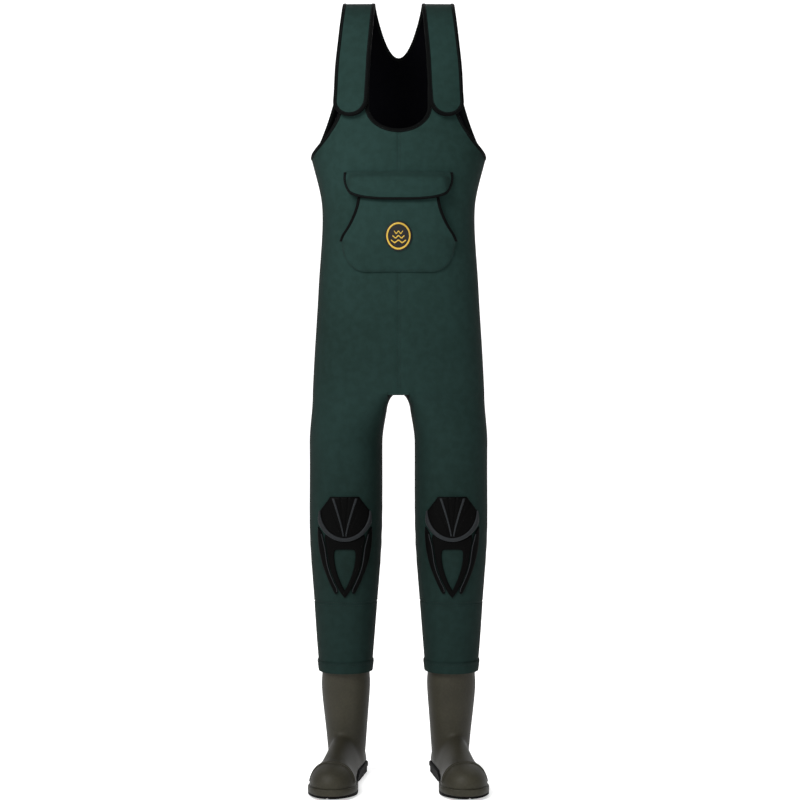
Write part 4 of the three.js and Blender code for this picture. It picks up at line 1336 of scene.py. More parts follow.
# Each blade's outer and inner edge down its length: height, outer x, inner x.
bladeEdges = [
    (0.022, 0.0525, 0.0520), (0.010, 0.0535, 0.0450), (-0.005, 0.0530, 0.0412), (-0.018, 0.0518, 0.0380),
    (-0.030, 0.0500, 0.0362),
    (-0.050, 0.0455, 0.0336), (-0.070, 0.0390, 0.0286), (-0.090, 0.0310, 0.0207), (-0.105, 0.0240, 0.0142),
    (-0.113, 0.0195, 0.0150),
]
bladeOuter = sorted((height, outer) for height, outer, _ in bladeEdges)
bladeInner = sorted((height, inner) for height, _, inner in bladeEdges)


def bladeStop(share, hand):
    def at(along, offset):
        height = mix(bladeEdges[0][0], bladeEdges[-1][0], share)
        x = mix(smoothThrough(bladeInner, height), smoothThrough(bladeOuter, height), along)
        return shinPoint(hand * x, kneeZ + height, pad["lift"] + offset)
    return at


# The thin pale line moulded along a blade's inner edge.
def bladeLine(share, hand):
    def at(along, offset):
        height = mix(bladeEdges[1][0], bladeEdges[-1][0], share)
        x = smoothThrough(bladeInner, height) + mix(0.0004, 0.0022, along)
        return shinPoint(hand * x, kneeZ + height, pad["lift"] + pad["guardThickness"] - 0.0008 + offset)
    return at


def pipingStop(turn):
    full = mix(0.3, 1.0, ease((math.pi / 2 - abs(turn)) / 0.45))

    def at(along, offset):
        out = mix(pad["pipingIn"], mix(pad["pipingIn"], pad["pipingOut"], full), along)
        z = kneeZ + pad["shoulder"] - (capArc + out) * math.cos(turn)
        return shinPoint((pad["capHalf"] + out) * math.sin(turn), z, pad["lift"] + offset)
    return at


# A moulded band: soft section from the cloth up to the height.
def reliefTube(name, stops, material, height, sign, closed=False, count=16):
    sections = [[
        stop((1 + along) / 2, height * (1 + across) / 2)
        for along, across in roundSection(count, 0.75)
    ] for stop in stops]
    return tubePiece(name, sections, [materials[material]], sign, closed)


# Raised ribs over the cap, from its foot to its corners and top edge.
def padRibs(side, sign):
    for index, spot in enumerate(ribSpots):
        def stop(share, spot=spot):
            def at(along, offset):
                spread = mix(0.12, 1.12, share ** 1.25)
                x = spot * pad["capHalf"] * spread + (along - 0.5) * pad["ribWidth"] * mix(0.7, 1.15, share)
                z = kneeZ + mix(0.004, pad["top"] - 0.003, share)
                dome = pad["capThickness"] * (0.72 + 0.28 * (1 - (x / pad["capHalf"]) ** 2))
                return shinPoint(x, z, pad["lift"] + dome - 0.0012 + offset)
            return at
        yield reliefTube(
            f"kneeRib{index}{side.title()}", [stop(share) for share in evenly(0, 1, 24)],
            "padRib", pad["ribHeight"], sign, count=12,
        )


for side, sign in sides.items():
    word = side.title()
    cap = sheetPiece(
        f"kneeCap{word}", capRows, crowded(60, (0.008, 0.02, 0.04)), capAt,
        [materials["padRubber"]], pad["capThickness"], sign=sign,
    )
    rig.replaces(attach(cap, "knee", side), f"knee_cap_{side}")
    for rib in padRibs(side, sign):
        attach(rib, "knee", side)
    pipe = reliefTube(
        f"kneePiping{word}", [pipingStop(turn) for turn in evenly(-math.pi / 2, math.pi / 2, 48)],
        "padRib", pad["capThickness"] + 0.001, sign,
    )
    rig.replaces(attach(pipe, "knee", side), f"knee_piping_{side}")
    guard = reliefTube(
        f"kneeGuard{word}", [guardStop(step / 72) for step in range(72)], "padRubber",
        pad["guardThickness"], sign, closed=True,
    )
    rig.replaces(attach(guard, "knee", side), f"knee_guard_{side}")
    for hand, edgeWord in ((1, "outer"), (-1, "inner")):
        blade = reliefTube(
            f"kneeBlade{edgeWord.title()}{word}", [bladeStop(share, hand) for share in evenly(0, 1, 40)],
            "padRubber", pad["guardThickness"], sign,
        )
        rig.replaces(attach(blade, "knee", side), f"knee_blade_{edgeWord}_{side}")
        line = reliefTube(
            f"kneeLine{edgeWord.title()}{word}", [bladeLine(share, hand) for share in evenly(0.02, 0.97, 40)],
            "padRib", 0.0014, sign, count=10,
        )
        attach(line, "knee", side)


# Boots

print("stage: boots")

boot = {
    "turn": math.radians(10), "toe": -0.214, "heel": 0.072, "top": 0.300,
    "ballHalf": 0.047, "heelHalf": 0.036,
    "sole": 0.009, "heelHeight": 0.013, "ledge": 0.002, "wall": 0.0035, "floor": 0.002,
    "ankleZ": 0.105, "ankleHalf": 0.043, "ankleDeep": 0.054, "shaftHalf": 0.0475, "shaftDeep": 0.056,
    "voxel": 0.0032, "smoothing": 26, "insole": 0.004, "toeSpring": 0.005, "instepTaper": 0.30,
    "toeRound": 0.066, "heelRound": 0.030,
    "bulgeZ": 0.190, "bulgeHalf": 0.0505,
}
toe, heel = boot["toe"], boot["heel"]
archStart, archEnd = toe + 0.120, toe + 0.172
footWidths = [
    (toe, boot["ballHalf"]), (toe + 0.080, boot["ballHalf"]),
    (toe + 0.150, boot["heelHalf"] + 0.002), (0.020, boot["heelHalf"]), (heel, boot["heelHalf"]),
]
footTops = [
    (toe, 0.030), (toe + 0.012, 0.046), (toe + 0.045, 0.061), (toe + 0.080, 0.067), (toe + 0.120, 0.079),
    (-0.050, 0.094), (-0.010, 0.104), (0.040, 0.104), (heel - 0.008, 0.090), (heel, 0.070),
]


# Half width of the foot; both ends close in a round.
def footHalf(y):
    toeRound = math.sqrt(max(0.0, 1 - clamp((toe + boot["toeRound"] - y) / boot["toeRound"]) ** 2))
    heelRound = math.sqrt(max(0.0, 1 - clamp((y - heel + boot["heelRound"]) / boot["heelRound"]) ** 2))
    return max(0.004, smoothThrough(footWidths, y) * toeRound ** 0.85 * heelRound ** 0.9)


# The sole rises over the arch to the heel, and a little at the toe.
def soleBottom(y):
    lifted = boot["heelHeight"] * clamp((y - archStart) / (archEnd - archStart))
    return lifted + boot["toeSpring"] * ease((toe + 0.085 - y) / 0.085)


def toeDrift(y):
    return -0.008 * ease((-y - 0.060) / 0.150)


# From the boot's own axes to where it stands under the left leg.
def bootPlace(x, y, z):
    c, s = math.cos(boot["turn"]), math.sin(boot["turn"])
    return Vector((legX + x * c - y * s, middleY + x * s + y * c, z))


def footRing(y, grow, lift, count=36):
    half = max(0.003, footHalf(y) + grow)
    top = smoothThrough(footTops, y) + grow + boot["toeSpring"] * ease((toe + 0.085 - y) / 0.085)
    bottom = soleBottom(y) + boot["sole"] + lift
    taper = boot["instepTaper"] * ease((y - toe - 0.055) / 0.05)
    ring = []
    for turn in evenly(0, math.pi, count):
        rise = math.sin(turn) ** 0.85
        x = math.copysign(abs(math.cos(turn)) ** 0.85, math.cos(turn)) * half * (1 - taper * rise)
        ring.append(bootPlace(x + toeDrift(y), y, bottom + (top - bottom) * rise))
    return ring


def footSections(grow, lift):
    places = evenly(toe - grow + 0.0005, heel + grow - 0.0005, 90)
    return [footRing(y, grow, lift) for y in places]


def shaftSections(grow, low, high, count=48):
    def ring(z):
        half = smoothThrough([
            (0.040, boot["ankleHalf"] - 0.006), (boot["ankleZ"], boot["ankleHalf"]),
            (boot["bulgeZ"], boot["bulgeHalf"]), (hemZ - 0.004, boot["bulgeHalf"] - 0.0015),
            (hemZ + 0.02, boot["shaftHalf"]),
        ], z)
        deep = smoothThrough([
            (0.040, boot["ankleDeep"]), (boot["ankleZ"], boot["ankleDeep"] - 0.002),
            (hemZ, boot["shaftDeep"]),
        ], z)
        lean = 0.010 * (1 - ease((z - 0.040) / 0.150))
        return [
            bootPlace((half + grow) * math.cos(turn), lean + (deep + grow) * math.sin(turn), z)
            for turn in (2 * math.pi * step / count for step in range(count))
        ]
    return [ring(z) for z in evenly(low, high, 40)]


# One skin of the boot: foot and shaft melted together and smoothed.
def shellOf(grow, lift, seat):
    parts = [
        tubePiece("footPart", footSections(grow, lift), []),
        tubePiece("shaftPart", shaftSections(grow, seat, boot["top"] + 0.012), []),
    ]
    joined = bmesh.new()
    for part in parts:
        joined.from_mesh(part.data)
        bpy.data.objects.remove(part)
    mesh = bpy.data.meshes.new("shell")
    joined.to_mesh(mesh)
    joined.free()
    shell = bpy.data.objects.new("shell", mesh)
    scene.collection.objects.link(shell)
    remesh = shell.modifiers.new("remesh", "REMESH")
    remesh.mode = "VOXEL"
    remesh.voxel_size = boot["voxel"]
    smooth = shell.modifiers.new("smooth", "SMOOTH")
    smooth.factor = 0.5
    smooth.iterations = boot["smoothing"]
    melted = bpy.data.meshes.new_from_object(shell.evaluated_get(bpy.context.evaluated_depsgraph_get()))
    bpy.data.objects.remove(shell)
    return melted


# The moulded upper: an outer and an inner skin, open at the top and joined by a rim.
def makeBootUpper(name, sign):
    seat = boot["sole"] + boot["heelHeight"]
    whole = bmesh.new()
    skins = ((0.0, 0.0004, seat + 0.006), (-boot["wall"], boot["floor"] + 0.0004, seat + 0.012))
    for grow, lift, low in skins:
        skin = bmesh.new()
        skin.from_mesh(shellOf(grow, lift, low))
        bmesh.ops.bisect_plane(
            skin, geom=[*skin.verts, *skin.edges, *skin.faces], plane_co=(0, 0, boot["top"]),
            plane_no=(0, 0, 1), clear_outer=True,
        )
        if grow < 0:
            bmesh.ops.reverse_faces(skin, faces=skin.faces)
        mesh = bpy.data.meshes.new("skin")
        skin.to_mesh(mesh)
        skin.free()
        whole.from_mesh(mesh)
    rims = [edge for edge in whole.edges if edge.is_boundary]
    bmesh.ops.bridge_loops(whole, edges=rims)
    mesh = bpy.data.meshes.new(name)
    if sign < 0:
        bmesh.ops.scale(whole, vec=(-1, 1, 1), verts=whole.verts)
        bmesh.ops.reverse_faces(whole, faces=whole.faces)
    bmesh.ops.recalc_face_normals(whole, faces=whole.faces)
    whole.to_mesh(mesh)
    whole.free()
    mesh.materials.append(materials["bootRubber"])
    mesh.polygons.foreach_set("use_smooth", [True] * len(mesh.polygons))
    piece = bpy.data.objects.new(name, mesh)
    scene.collection.objects.link(piece)
    return piece


toeCap = {"places": (0.052, 0.060), "width": 0.0038, "height": 0.0011}
foxing = {"low": 0.0052, "high": 0.0185, "stand": 0.0022, "steps": 120}


# A moulded ridge across the toe, from one side of the sole to the other.
def toeBand(name, place, sign):
    steps = (-toeCap["width"] / 2, toeCap["width"] / 2)
    rows = [footRing(toe + place + step, 0.0, 0.0, 40) for step in steps]
    centre = bootPlace(toeDrift(toe + place), toe + place, 0.030)

    def stop(index):
        def at(along, offset):
            spot = rows[0][index].lerp(rows[1][index], along)
            return spot + (spot - centre).normalized() * (offset - 0.0009)
        return at

    stops = [stop(index) for index in range(3, 38)]
    return reliefTube(name, stops, "bootRubber", toeCap["height"] + 0.0009, sign, count=12)


# The foot's outline seen from above, once round, as places and half widths.
def outlineOf(grow):
    steps = foxing["steps"]
    spots = []
    for step in range(steps):
        turn = 2 * math.pi * step / steps
        y = mix(toe, heel, (1 - math.cos(turn)) / 2)
        hand = 1 if turn < math.pi else -1
        spots.append((hand * footHalf(y), y + grow * (-math.cos(turn)), hand))
    return spots


# The strip moulded round the foot just over the sole.
def foxingBand(name, sign):
    def stop(x, y, hand):
        def at(along, offset):
            fade = ease((y - archStart + 0.030) / 0.040)
            half = max(0.0, abs(x) + mix(-0.004, foxing["stand"], along) - 0.006 * fade)
            low = soleBottom(y)
            z = low + mix(foxing["low"], foxing["high"], offset / foxing["high"])
            return bootPlace(toeDrift(y) + hand * half, y, z)
        return at

    return reliefTube(
        name, [stop(*spot) for spot in outlineOf(foxing["stand"])], "bootRubber", foxing["high"], sign,
        closed=True, count=14,
    )


# The sole is hollow between its lugs, inside a rim.
def treadRecess(y, edge):
    return 0.0024 * ease((edge - 0.004) / 0.002)


def flatFoot(y, inward):
    return 0.0


# A plate of the sole with softened edges, from its place near the toe to the heel.
def solePlate(name, low, high, bottomAt, topAt, ledge, material, sign, recess=flatFoot):
    places = [mix(low, high, share) for share in crowded(60, (0.003, 0.008, 0.016))]

    def at(y, share, offset):
        half = footHalf(y) + ledge
        edge = min(half * (1 - abs(2 * share - 1)), y - low, high - y)
        soften = 0.0012 * bump(edge, 0.0014)
        inward = half * (1 - abs(2 * share - 1))
        z = topAt(y) - soften if offset == 0 else bottomAt(y) + soften + recess(y, inward)
        return bootPlace(toeDrift(y) + mix(-half, half, share), y, z)

    shares = crowded(24, (0.012, 0.03, 0.06))
    return sheetPiece(name, places, shares, at, [materials[material]], 1.0, sign=sign)


for side, sign in sides.items():
    word = side.title()
    upper = makeBootUpper(f"bootUpper{word}", sign)
    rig.replaces(attach(upper, "shin", side), f"boot_upper_{side}")
    for index, place in enumerate(toeCap["places"]):
        attach(toeBand(f"toeBand{index}{word}", place, sign), "shin", side)
    attach(foxingBand(f"foxing{word}", sign), "shin", side)
    outsole = solePlate(
        f"bootOutsole{word}", toe - boot["ledge"], heel + boot["ledge"], soleBottom,
        lambda y: soleBottom(y) + boot["sole"], boot["ledge"], "soleRubber", sign, treadRecess,
    )
    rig.replaces(attach(outsole, "shin", side), f"boot_outsole_{side}")
    heelPiece = solePlate(
        f"bootHeel{word}", archEnd, heel, lambda y: 0.0, lambda y: boot["heelHeight"] - 0.0002, 0.0,
        "soleRubber", sign, treadRecess,
    )
    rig.replaces(attach(heelPiece, "shin", side), f"boot_heel_{side}")
    rest = boot["sole"] + boot["floor"] + 0.0012
    insole = solePlate(
        f"bootInsole{word}", toe + 0.016, heel - 0.012, lambda y: soleBottom(y) + rest,
        lambda y: soleBottom(y) + rest + boot["insole"], -boot["wall"] - 0.005, "insole", sign,
    )
    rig.replaces(attach(insole, "shin", side), f"boot_insole_{side}")


# Badge

print("stage: badge")

badge = {"half": 0.024, "tall": 0.030, "up": 0.070, "waves": 3, "waveStep": 0.009, "line": 0.0018}
badgeZ = pouchLow + badge["up"]


def badgeAt(x, z, offset):
    return onBib(x, z, pouchSkin(x, z) + pocket["lift"] + tapes["thickness"] + offset)


# A dished disc of cloth: rings from the middle out, then its edge and its back.
def badgeGround():
    rings, around = evenly(0.0, 1.0, 10)[1:], 48
    points, faces = [badgeAt(0, badgeZ, 0)], []
    layers = [(share, 0.0) for share in rings] + [(share, -tapes["thickness"]) for share in reversed(rings)]
    for share, offset in layers:
        for step in range(around):
            turn = 2 * math.pi * step / around
            x, rise = badge["half"] * share * math.cos(turn), badge["tall"] * share * math.sin(turn)
            points.append(badgeAt(x, badgeZ + rise, offset))
    last = len(points)
    points.append(badgeAt(0, badgeZ, -tapes["thickness"]))
    for step in range(around):
        beside = (step + 1) % around
        faces.append((0, 1 + step, 1 + beside))
        for ring in range(len(layers) - 1):
            a, b = 1 + ring * around + step, 1 + ring * around + beside
            faces.append((a, a + around, b + around, b))
        foot = 1 + (len(layers) - 1) * around
        faces.append((last, foot + beside, foot + step))
    return newPiece("badgeGround", points, faces, [materials["badgeGround"]])


def badgeRing(name, inner, outer):
    def stop(turn):
        def at(along, offset):
            share = mix(inner, outer, along)
            x, z = badge["half"] * share * math.cos(turn), badge["tall"] * share * math.sin(turn)
            return badgeAt(x, badgeZ + z, offset - 0.0003)
        return at
    stops = [stop(2 * math.pi * step / 72) for step in range(72)]
    return reliefTube(name, stops, "badgeGold", 0.0011, 1, closed=True, count=8)


# A stitched wave; the lowest is the widest.
def badgeWave(index):
    low = badgeZ - 0.011 + index * badge["waveStep"]
    reach = 0.0135 - 0.0028 * index

    def stop(share):
        def at(along, offset):
            x = mix(-reach, reach, share)
            z = low + 0.0022 * math.cos(share * 4 * math.pi) + (along - 0.5) * badge["line"] * 1.6
            return badgeAt(x, z, offset - 0.0003)
        return at
    stops = [stop(share) for share in evenly(0, 1, 40)]
    return reliefTube(f"badgeWave{index}", stops, "badgeGold", 0.0010, 1, count=8)


ground = attach(badgeGround(), "torso")
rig.replaces(ground, "chest_badge")
for piece in (badgeRing("badgeBorder", 0.78, 0.9), *[badgeWave(index) for index in range(badge["waves"])]):
    attach(piece, "torso")


# Stitches

print("stage: stitches")

thread = {
    "length": 0.0030, "spacing": 0.0042, "thickness": 0.00055,
    "lift": 0.0002, "inset": 0.0030, "armShare": 0.28,
}


def groupSocket(tree, name, kind, value=None):
    socket = tree.interface.new_socket(name, in_out="INPUT", socket_type=kind)
    if value is not None:
        socket.default_value = value
    return socket.identifier


# Stitches laid along every edge of a mesh of lines.
def makeStitchGroup():
    tree = bpy.data.node_groups.new("stitchRows", "GeometryNodeTree")
    names = {"Geometry": groupSocket(tree, "Geometry", "NodeSocketGeometry")}
    for label in ("Length", "Spacing", "Thickness"):
        names[label] = groupSocket(tree, label, "NodeSocketFloat", thread[label.lower()])
    names["Material"] = groupSocket(tree, "Material", "NodeSocketMaterial")
    tree.interface.new_socket("Geometry", in_out="OUTPUT", socket_type="NodeSocketGeometry")
    graph = Graph(tree)
    given, result = graph.add("NodeGroupInput"), graph.add("NodeGroupOutput")
    curve = graph.add("GeometryNodeMeshToCurve")
    steps = graph.add("GeometryNodeResampleCurve", mode="LENGTH")
    ball = graph.add("GeometryNodeMeshUVSphere")
    ball.inputs["Segments"].default_value = 6
    ball.inputs["Rings"].default_value = 5
    ball.inputs["Radius"].default_value = 0.5
    shape = graph.add("GeometryNodeTransform")
    size = graph.add("ShaderNodeCombineXYZ")
    turn = graph.add("FunctionNodeAlignRotationToVector", axis="X")
    tangent = graph.add("GeometryNodeInputTangent")
    spread = graph.add("GeometryNodeInstanceOnPoints")
    real = graph.add("GeometryNodeRealizeInstances")
    paint = graph.add("GeometryNodeSetMaterial")
    graph.join(given.outputs["Geometry"], curve.inputs["Mesh"])
    graph.join(curve.outputs["Curve"], steps.inputs["Curve"])
    graph.join(given.outputs["Spacing"], steps.inputs["Length"])
    graph.join(given.outputs["Length"], size.inputs["X"])
    graph.join(given.outputs["Thickness"], size.inputs["Y"])
    graph.join(given.outputs["Thickness"], size.inputs["Z"])
    graph.join(ball.outputs["Mesh"], shape.inputs["Geometry"])
    graph.join(size.outputs["Vector"], shape.inputs["Scale"])
    graph.join(tangent.outputs["Tangent"], turn.inputs["Vector"])
    graph.join(steps.outputs["Curve"], spread.inputs["Points"])
    graph.join(shape.outputs["Geometry"], spread.inputs["Instance"])
    graph.join(turn.outputs["Rotation"], spread.inputs["Rotation"])
    graph.join(spread.outputs["Instances"], real.inputs["Geometry"])
    graph.join(real.outputs["Geometry"], paint.inputs["Geometry"])
    graph.join(given.outputs["Material"], paint.inputs["Material"])
    graph.join(paint.outputs["Geometry"], result.inputs["Geometry"])
    return tree, names


# Runs a node group once on a mesh and keeps only the result.
def convert(name, mesh, tree, names, material):
    source = bpy.data.objects.new(f"{name}Source", mesh)
    scene.collection.objects.link(source)
    nodes = source.modifiers.new("nodes", "NODES")
    nodes.node_group = tree
    nodes[names["Material"]] = material
    made = bpy.data.meshes.new_from_object(source.evaluated_get(bpy.context.evaluated_depsgraph_get()))
    bpy.data.objects.remove(source)
    made.name = name
    if not made.materials:
        made.materials.append(material)
    piece = bpy.data.objects.new(name, made)
    scene.collection.objects.link(piece)
    return piece


def lineMesh(lines):
    mesh = bpy.data.meshes.new("lines")
    points, edges = [], []
    for line in lines:
        first = len(points)
        points += [tuple(point) for point in line]
        edges += [(first + step, first + step + 1) for step in range(len(line) - 1)]
    mesh.from_pydata(points, edges, [])
    return mesh


def bodySpot(side, x, z):
    return bodyPoint(side, x, z, thread["lift"])


def sewTorso():
    inset, lift = thread["inset"], trim["wrap"] + 0.0001
    for x in (inset, -inset):
        for low, high in ((crotchZ + 0.004, pouchLow - 0.006), (flapTop + 0.006, neckCutZ - 0.004)):
            stitch([mirrorless(bodySpot(-1, abs(x), z), x) for z in evenly(low, high, 60)], "torso")
    stitch([bodyPoint(-1, *inEdge(*pair), lift) for pair in neckEdge], "torso")
    stitch([bodyPoint(1, *inEdge(*pair), lift) for pair in backNeckEdge()], "torso")
    arm = [stop(thread["armShare"], lift) for stop in armholeEdge]
    stitch(arm, "torso")
    stitch(mirrorX(arm), "torso")
    outline = []
    for z in reversed(pouchRows[:18]):
        outline.append((pouchEdgeX(z) - inset, max(z, pouchLow + inset)))
    half = outline + [(x, pouchLow + inset) for x in evenly(outline[-1][0], 0, 16)[1:]]
    path = [(-x, z) for x, z in half] + [(x, z) for x, z in reversed(half[:-1])]
    stitch([onBib(x, z, pouchSkin(x, z) + thread["lift"]) for x, z in path], "torso")


def mirrorless(point, x):
    return point if x > 0 else Vector((-point.x, point.y, point.z))


def inEdge(cut, finished):
    return mix(cut[0], finished[0], 0.28), mix(cut[1], finished[1], 0.28)


def sewStraps():
    for side, sign in sides.items():
        line = [stop(0.28, trim["wrap"] + 0.0001) for stop in strapEdge()]
        stitch(line if sign > 0 else mirrorX(line), "strap", side)


def sewFlap():
    z = flapTop - thread["inset"]
    half = pocket["flapHalf"] - 0.008
    out = pocket["fabric"] + thread["lift"]
    stitch([onBib(x, z, flapLift(x, z) + out) for x in evenly(-half, half, 60)], "flap")
    stops = flapBindingStops()
    stitch([stop(0.4, trim["wrap"] + 0.0001) for stop in stops], "flap")


def sewLegs():
    for side, sign in sides.items():
        rings = []
        for z in (legCloth["calfSeamZ"] - thread["inset"], legCloth["calfSeamZ"] + thread["inset"]):
            rings.append([legPoint(angle, z, thread["lift"]) for angle in legAngles(160)])
        rings += list(hemStitches(sign))
        for ring in rings:
            closedRing = [*ring, ring[0]]
            stitch(closedRing if sign > 0 else mirrorX(closedRing), "shin", side)


sewTorso()
sewStraps()
sewFlap()
sewLegs()
stitchGroup, stitchNames = makeStitchGroup()
for (how, side), lines in stitchLines.items():
    name = f"stitches{how.title()}{side.title() if how in ('shin', 'strap') else ''}"
    attach(convert(name, lineMesh(lines), stitchGroup, stitchNames, materials["thread"]), how, side)


# Treads

print("stage: treads")

tread = {
    "length": 0.012, "width": 0.0045, "depth": 0.0034, "rows": 0.0115, "angle": math.radians(28),
    "margin": 0.006, "spread": 0.0150,
}


# Lugs on points; each point's own turn sets the way its lug leans.
def makeTreadGroup():
    tree = bpy.data.node_groups.new("treadLugs", "GeometryNodeTree")
    names = {"Geometry": groupSocket(tree, "Geometry", "NodeSocketGeometry")}
    lug = (tread["width"], tread["length"], tread["depth"])
    names["Size"] = groupSocket(tree, "Size", "NodeSocketVector", lug)
    names["Material"] = groupSocket(tree, "Material", "NodeSocketMaterial")
    tree.interface.new_socket("Geometry", in_out="OUTPUT", socket_type="NodeSocketGeometry")
    graph = Graph(tree)
    given, result = graph.add("NodeGroupInput"), graph.add("NodeGroupOutput")
    toPoints = graph.add("GeometryNodeMeshToPoints")
    lug = graph.add("GeometryNodeMeshCube")
    lean = graph.add("GeometryNodeInputNamedAttribute", data_type="FLOAT")
    lean.inputs["Name"].default_value = "turn"
    angles = graph.add("ShaderNodeCombineXYZ")
    turn = graph.add("FunctionNodeEulerToRotation")
    spread = graph.add("GeometryNodeInstanceOnPoints")
    real = graph.add("GeometryNodeRealizeInstances")
    paint = graph.add("GeometryNodeSetMaterial")
    graph.join(given.outputs["Geometry"], toPoints.inputs["Mesh"])
    graph.join(given.outputs["Size"], lug.inputs["Size"])
    graph.join(lean.outputs["Attribute"], angles.inputs["Z"])
    graph.join(angles.outputs["Vector"], turn.inputs["Euler"])
    graph.join(toPoints.outputs["Points"], spread.inputs["Points"])
    graph.join(lug.outputs["Mesh"], spread.inputs["Instance"])
    graph.join(turn.outputs["Rotation"], spread.inputs["Rotation"])
    graph.join(spread.outputs["Instances"], real.inputs["Geometry"])
    graph.join(real.outputs["Geometry"], paint.inputs["Geometry"])
    graph.join(given.outputs["Material"], paint.inputs["Material"])
    graph.join(paint.outputs["Geometry"], result.inputs["Geometry"])
    return tree, names


# Where the lugs stand: herringbone rows under the sole and the heel.
def treadSpots(sign):
    spots, turns = [], []
    count = int((heel - toe) / tread["rows"])
    for row in range(count + 1):
        y = toe + 0.010 + row * tread["rows"]
        onHeel = y > archEnd + 0.006
        if archStart - 0.006 < y < archEnd + 0.006 or y > heel - 0.010:
            continue
        room = footHalf(y) - tread["margin"]
        for step in range(-3, 4):
            x = (step + (0.5 if row % 2 else 0.0)) * tread["spread"]
            if abs(x) > room:
                continue
            low = 0.0 if onHeel else soleBottom(y)
            place = bootPlace(toeDrift(y) + x, y, low + tread["depth"] / 2)
            spots.append(Vector((sign * place.x, place.y, place.z)))
            lean = boot["turn"] + (tread["angle"] if row % 2 else -tread["angle"]) + math.pi / 2
            turns.append(sign * lean)
    return spots, turns


treadGroup, treadNames = makeTreadGroup()
for side, sign in sides.items():
    spots, turns = treadSpots(sign)
    mesh = bpy.data.meshes.new("treadSpots")
    mesh.from_pydata([tuple(spot) for spot in spots], [], [])
    mesh.attributes.new("turn", "FLOAT", "POINT").data.foreach_set("value", turns)
    lugs = convert(f"treads{side.title()}", mesh, treadGroup, treadNames, materials["soleRubber"])
    attach(lugs, "shin", side)


# What is cloth and what is padded

print("stage: declarations")

# Each pattern piece: width and length of the rectangle it is cut from, its own flat area, how it is held.
patterns = {
    "bibFront": {
        "flat": (0.242, 0.672), "area": 0.1237, "held": "hung",
        "rests": ["strapLeft", "strapRight"],
    },
    "backPanel": {
        "flat": (0.243, 0.873), "area": 0.1530, "held": "hung",
        "rests": ["strapLeft", "strapRight"],
    },
    "upperLeg": {
        "flat": (0.672, 0.160), "area": 0.0874, "held": "hung",
        "rests": ["bibFrontLeft", "bibFrontRight"],
    },
    "kneeSleeve": {
        "flat": (0.512, 0.276), "area": 0.1290, "held": "hung",
        "rests": ["upperLegLeft", "upperLegRight"],
    },
    "calfSleeve": {
        "flat": (0.430, 0.144), "area": 0.0560, "held": "hung",
        "rests": ["kneeSleeveLeft", "kneeSleeveRight"],
    },
    "legHem": {
        "flat": (0.394, 0.0225), "area": 0.0088, "held": "stretched",
        "rests": ["calfSleeveLeft", "calfSleeveRight"],
    },
    "strap": {"flat": (0.060, 0.302), "area": 0.0172, "held": "hung", "rests": []},
}
onTop = {
    "crotchGusset": {
        "flat": (0.044, 0.210), "area": 0.0092, "held": "stretched",
        "rests": ["upperLegLeft", "upperLegRight"],
    },
    "pocketPouch": {
        "flat": (0.250, 0.188), "area": 0.0360, "held": "stretched",
        "rests": ["bibFrontLeft", "bibFrontRight"],
    },
    "pocketFlap": {
        "flat": (0.232, 0.062), "area": 0.0126, "held": "hung",
        "rests": ["bibFrontLeft", "bibFrontRight"],
    },
}
trims = {
    "bibFrontLeft": ["armholeBindingLeft", "neckBinding", "strapLoopsLeft"],
    "bibFrontRight": ["armholeBindingRight", "strapLoopsRight"],
    "backPanelLeft": ["backNeckBinding"],
    "strapLeft": ["strapBindingLeft", "strapHooksLeft"],
    "strapRight": ["strapBindingRight", "strapHooksRight"],
    "pocketPouch": ["openingBindingLeft", "openingBindingRight", "pocketLoops", "badgeGround"],
    "pocketFlap": ["flapBinding", "flapHooks"],
}
for name, cut in patterns.items():
    for word in ("Left", "Right"):
        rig.sheet(
            bpy.data.objects[name + word], flat=cut["flat"], held=cut["held"], area=cut["area"],
            rests_on=[rest for rest in cut["rests"] if rest.endswith(word)],
            with_pieces=trims.get(name + word, ()),
        )
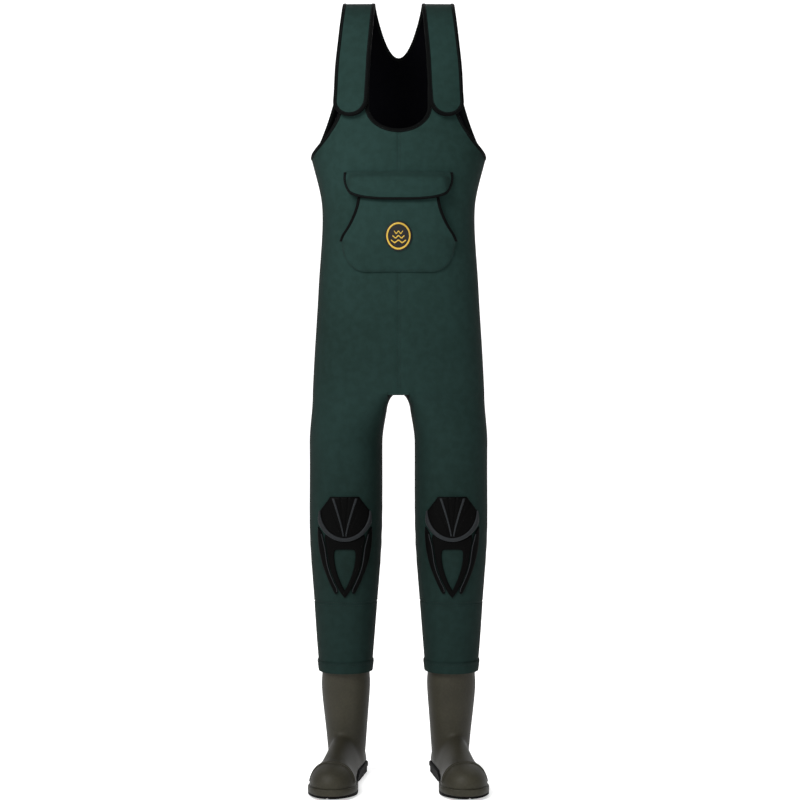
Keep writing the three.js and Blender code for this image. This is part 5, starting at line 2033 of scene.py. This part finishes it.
for name, cut in onTop.items():
    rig.sheet(
        bpy.data.objects[name], flat=cut["flat"], held=cut["held"], area=cut["area"], rests_on=cut["rests"],
        with_pieces=trims.get(name, ()),
    )
for name in ("kneeCap", "bootInsole"):
    for word in ("Left", "Right"):
        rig.padded(bpy.data.objects[name + word], fill=1.0)

# The record's material slot that each added piece takes its finish from.
addedSlots = {
    "stitches": "binding_tape", "treads": "sole_rubber", "foxing": "boot_rubber", "toeBand": "boot_rubber",
    "kneeRib": "knee_piping", "kneeLine": "knee_piping", "badge": "badge_thread",
}
for piece in bpy.data.objects:
    for start, slot in addedSlots.items():
        if piece.name.startswith(start):
            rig.slot(piece, slot)


# The floor and the end

print("stage: floor")

floorLook = {"color": (0.9, 0.9, 0.9), "glow": 0.5, "half": 7.0, "back": 3.0, "bend": 2.5, "height": 7.0}


# A pale floor that curves up into a wall behind.
def makeFloor():
    half, back, bend = floorLook["half"], floorLook["back"], floorLook["bend"]
    line = [(-half, 0.0)] + [
        (back + bend * math.sin(turn), bend * (1 - math.cos(turn))) for turn in evenly(0, math.pi / 2, 24)
    ] + [(back + bend, floorLook["height"])]
    mesh = bpy.data.meshes.new("floor")
    points = [(x, y, z) for y, z in line for x in (-half, half)]
    mesh.from_pydata(points, [], [(2 * i, 2 * i + 1, 2 * i + 3, 2 * i + 2) for i in range(len(line) - 1)])
    mesh.polygons.foreach_set("use_smooth", [True] * len(mesh.polygons))
    material = bpy.data.materials.new("floor")
    material.use_nodes = True
    surface = material.node_tree.nodes["Principled BSDF"]
    surface.inputs["Base Color"].default_value = (*floorLook["color"], 1)
    surface.inputs["Roughness"].default_value = 0.9
    surface.inputs["Emission Color"].default_value = (1, 1, 1, 1)
    surface.inputs["Emission Strength"].default_value = floorLook["glow"]
    mesh.materials.append(material)
    floor = bpy.data.objects.new("floor", mesh)
    scene.collection.objects.link(floor)
    return floor


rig.stage(makeFloor(), camera, *lights)

sizes = {"before": [list(cadLow), list(cadHigh)], "after": [list(corner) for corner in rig.bounds()]}
with open("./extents.json", "w") as target:
    json.dump(sizes, target)
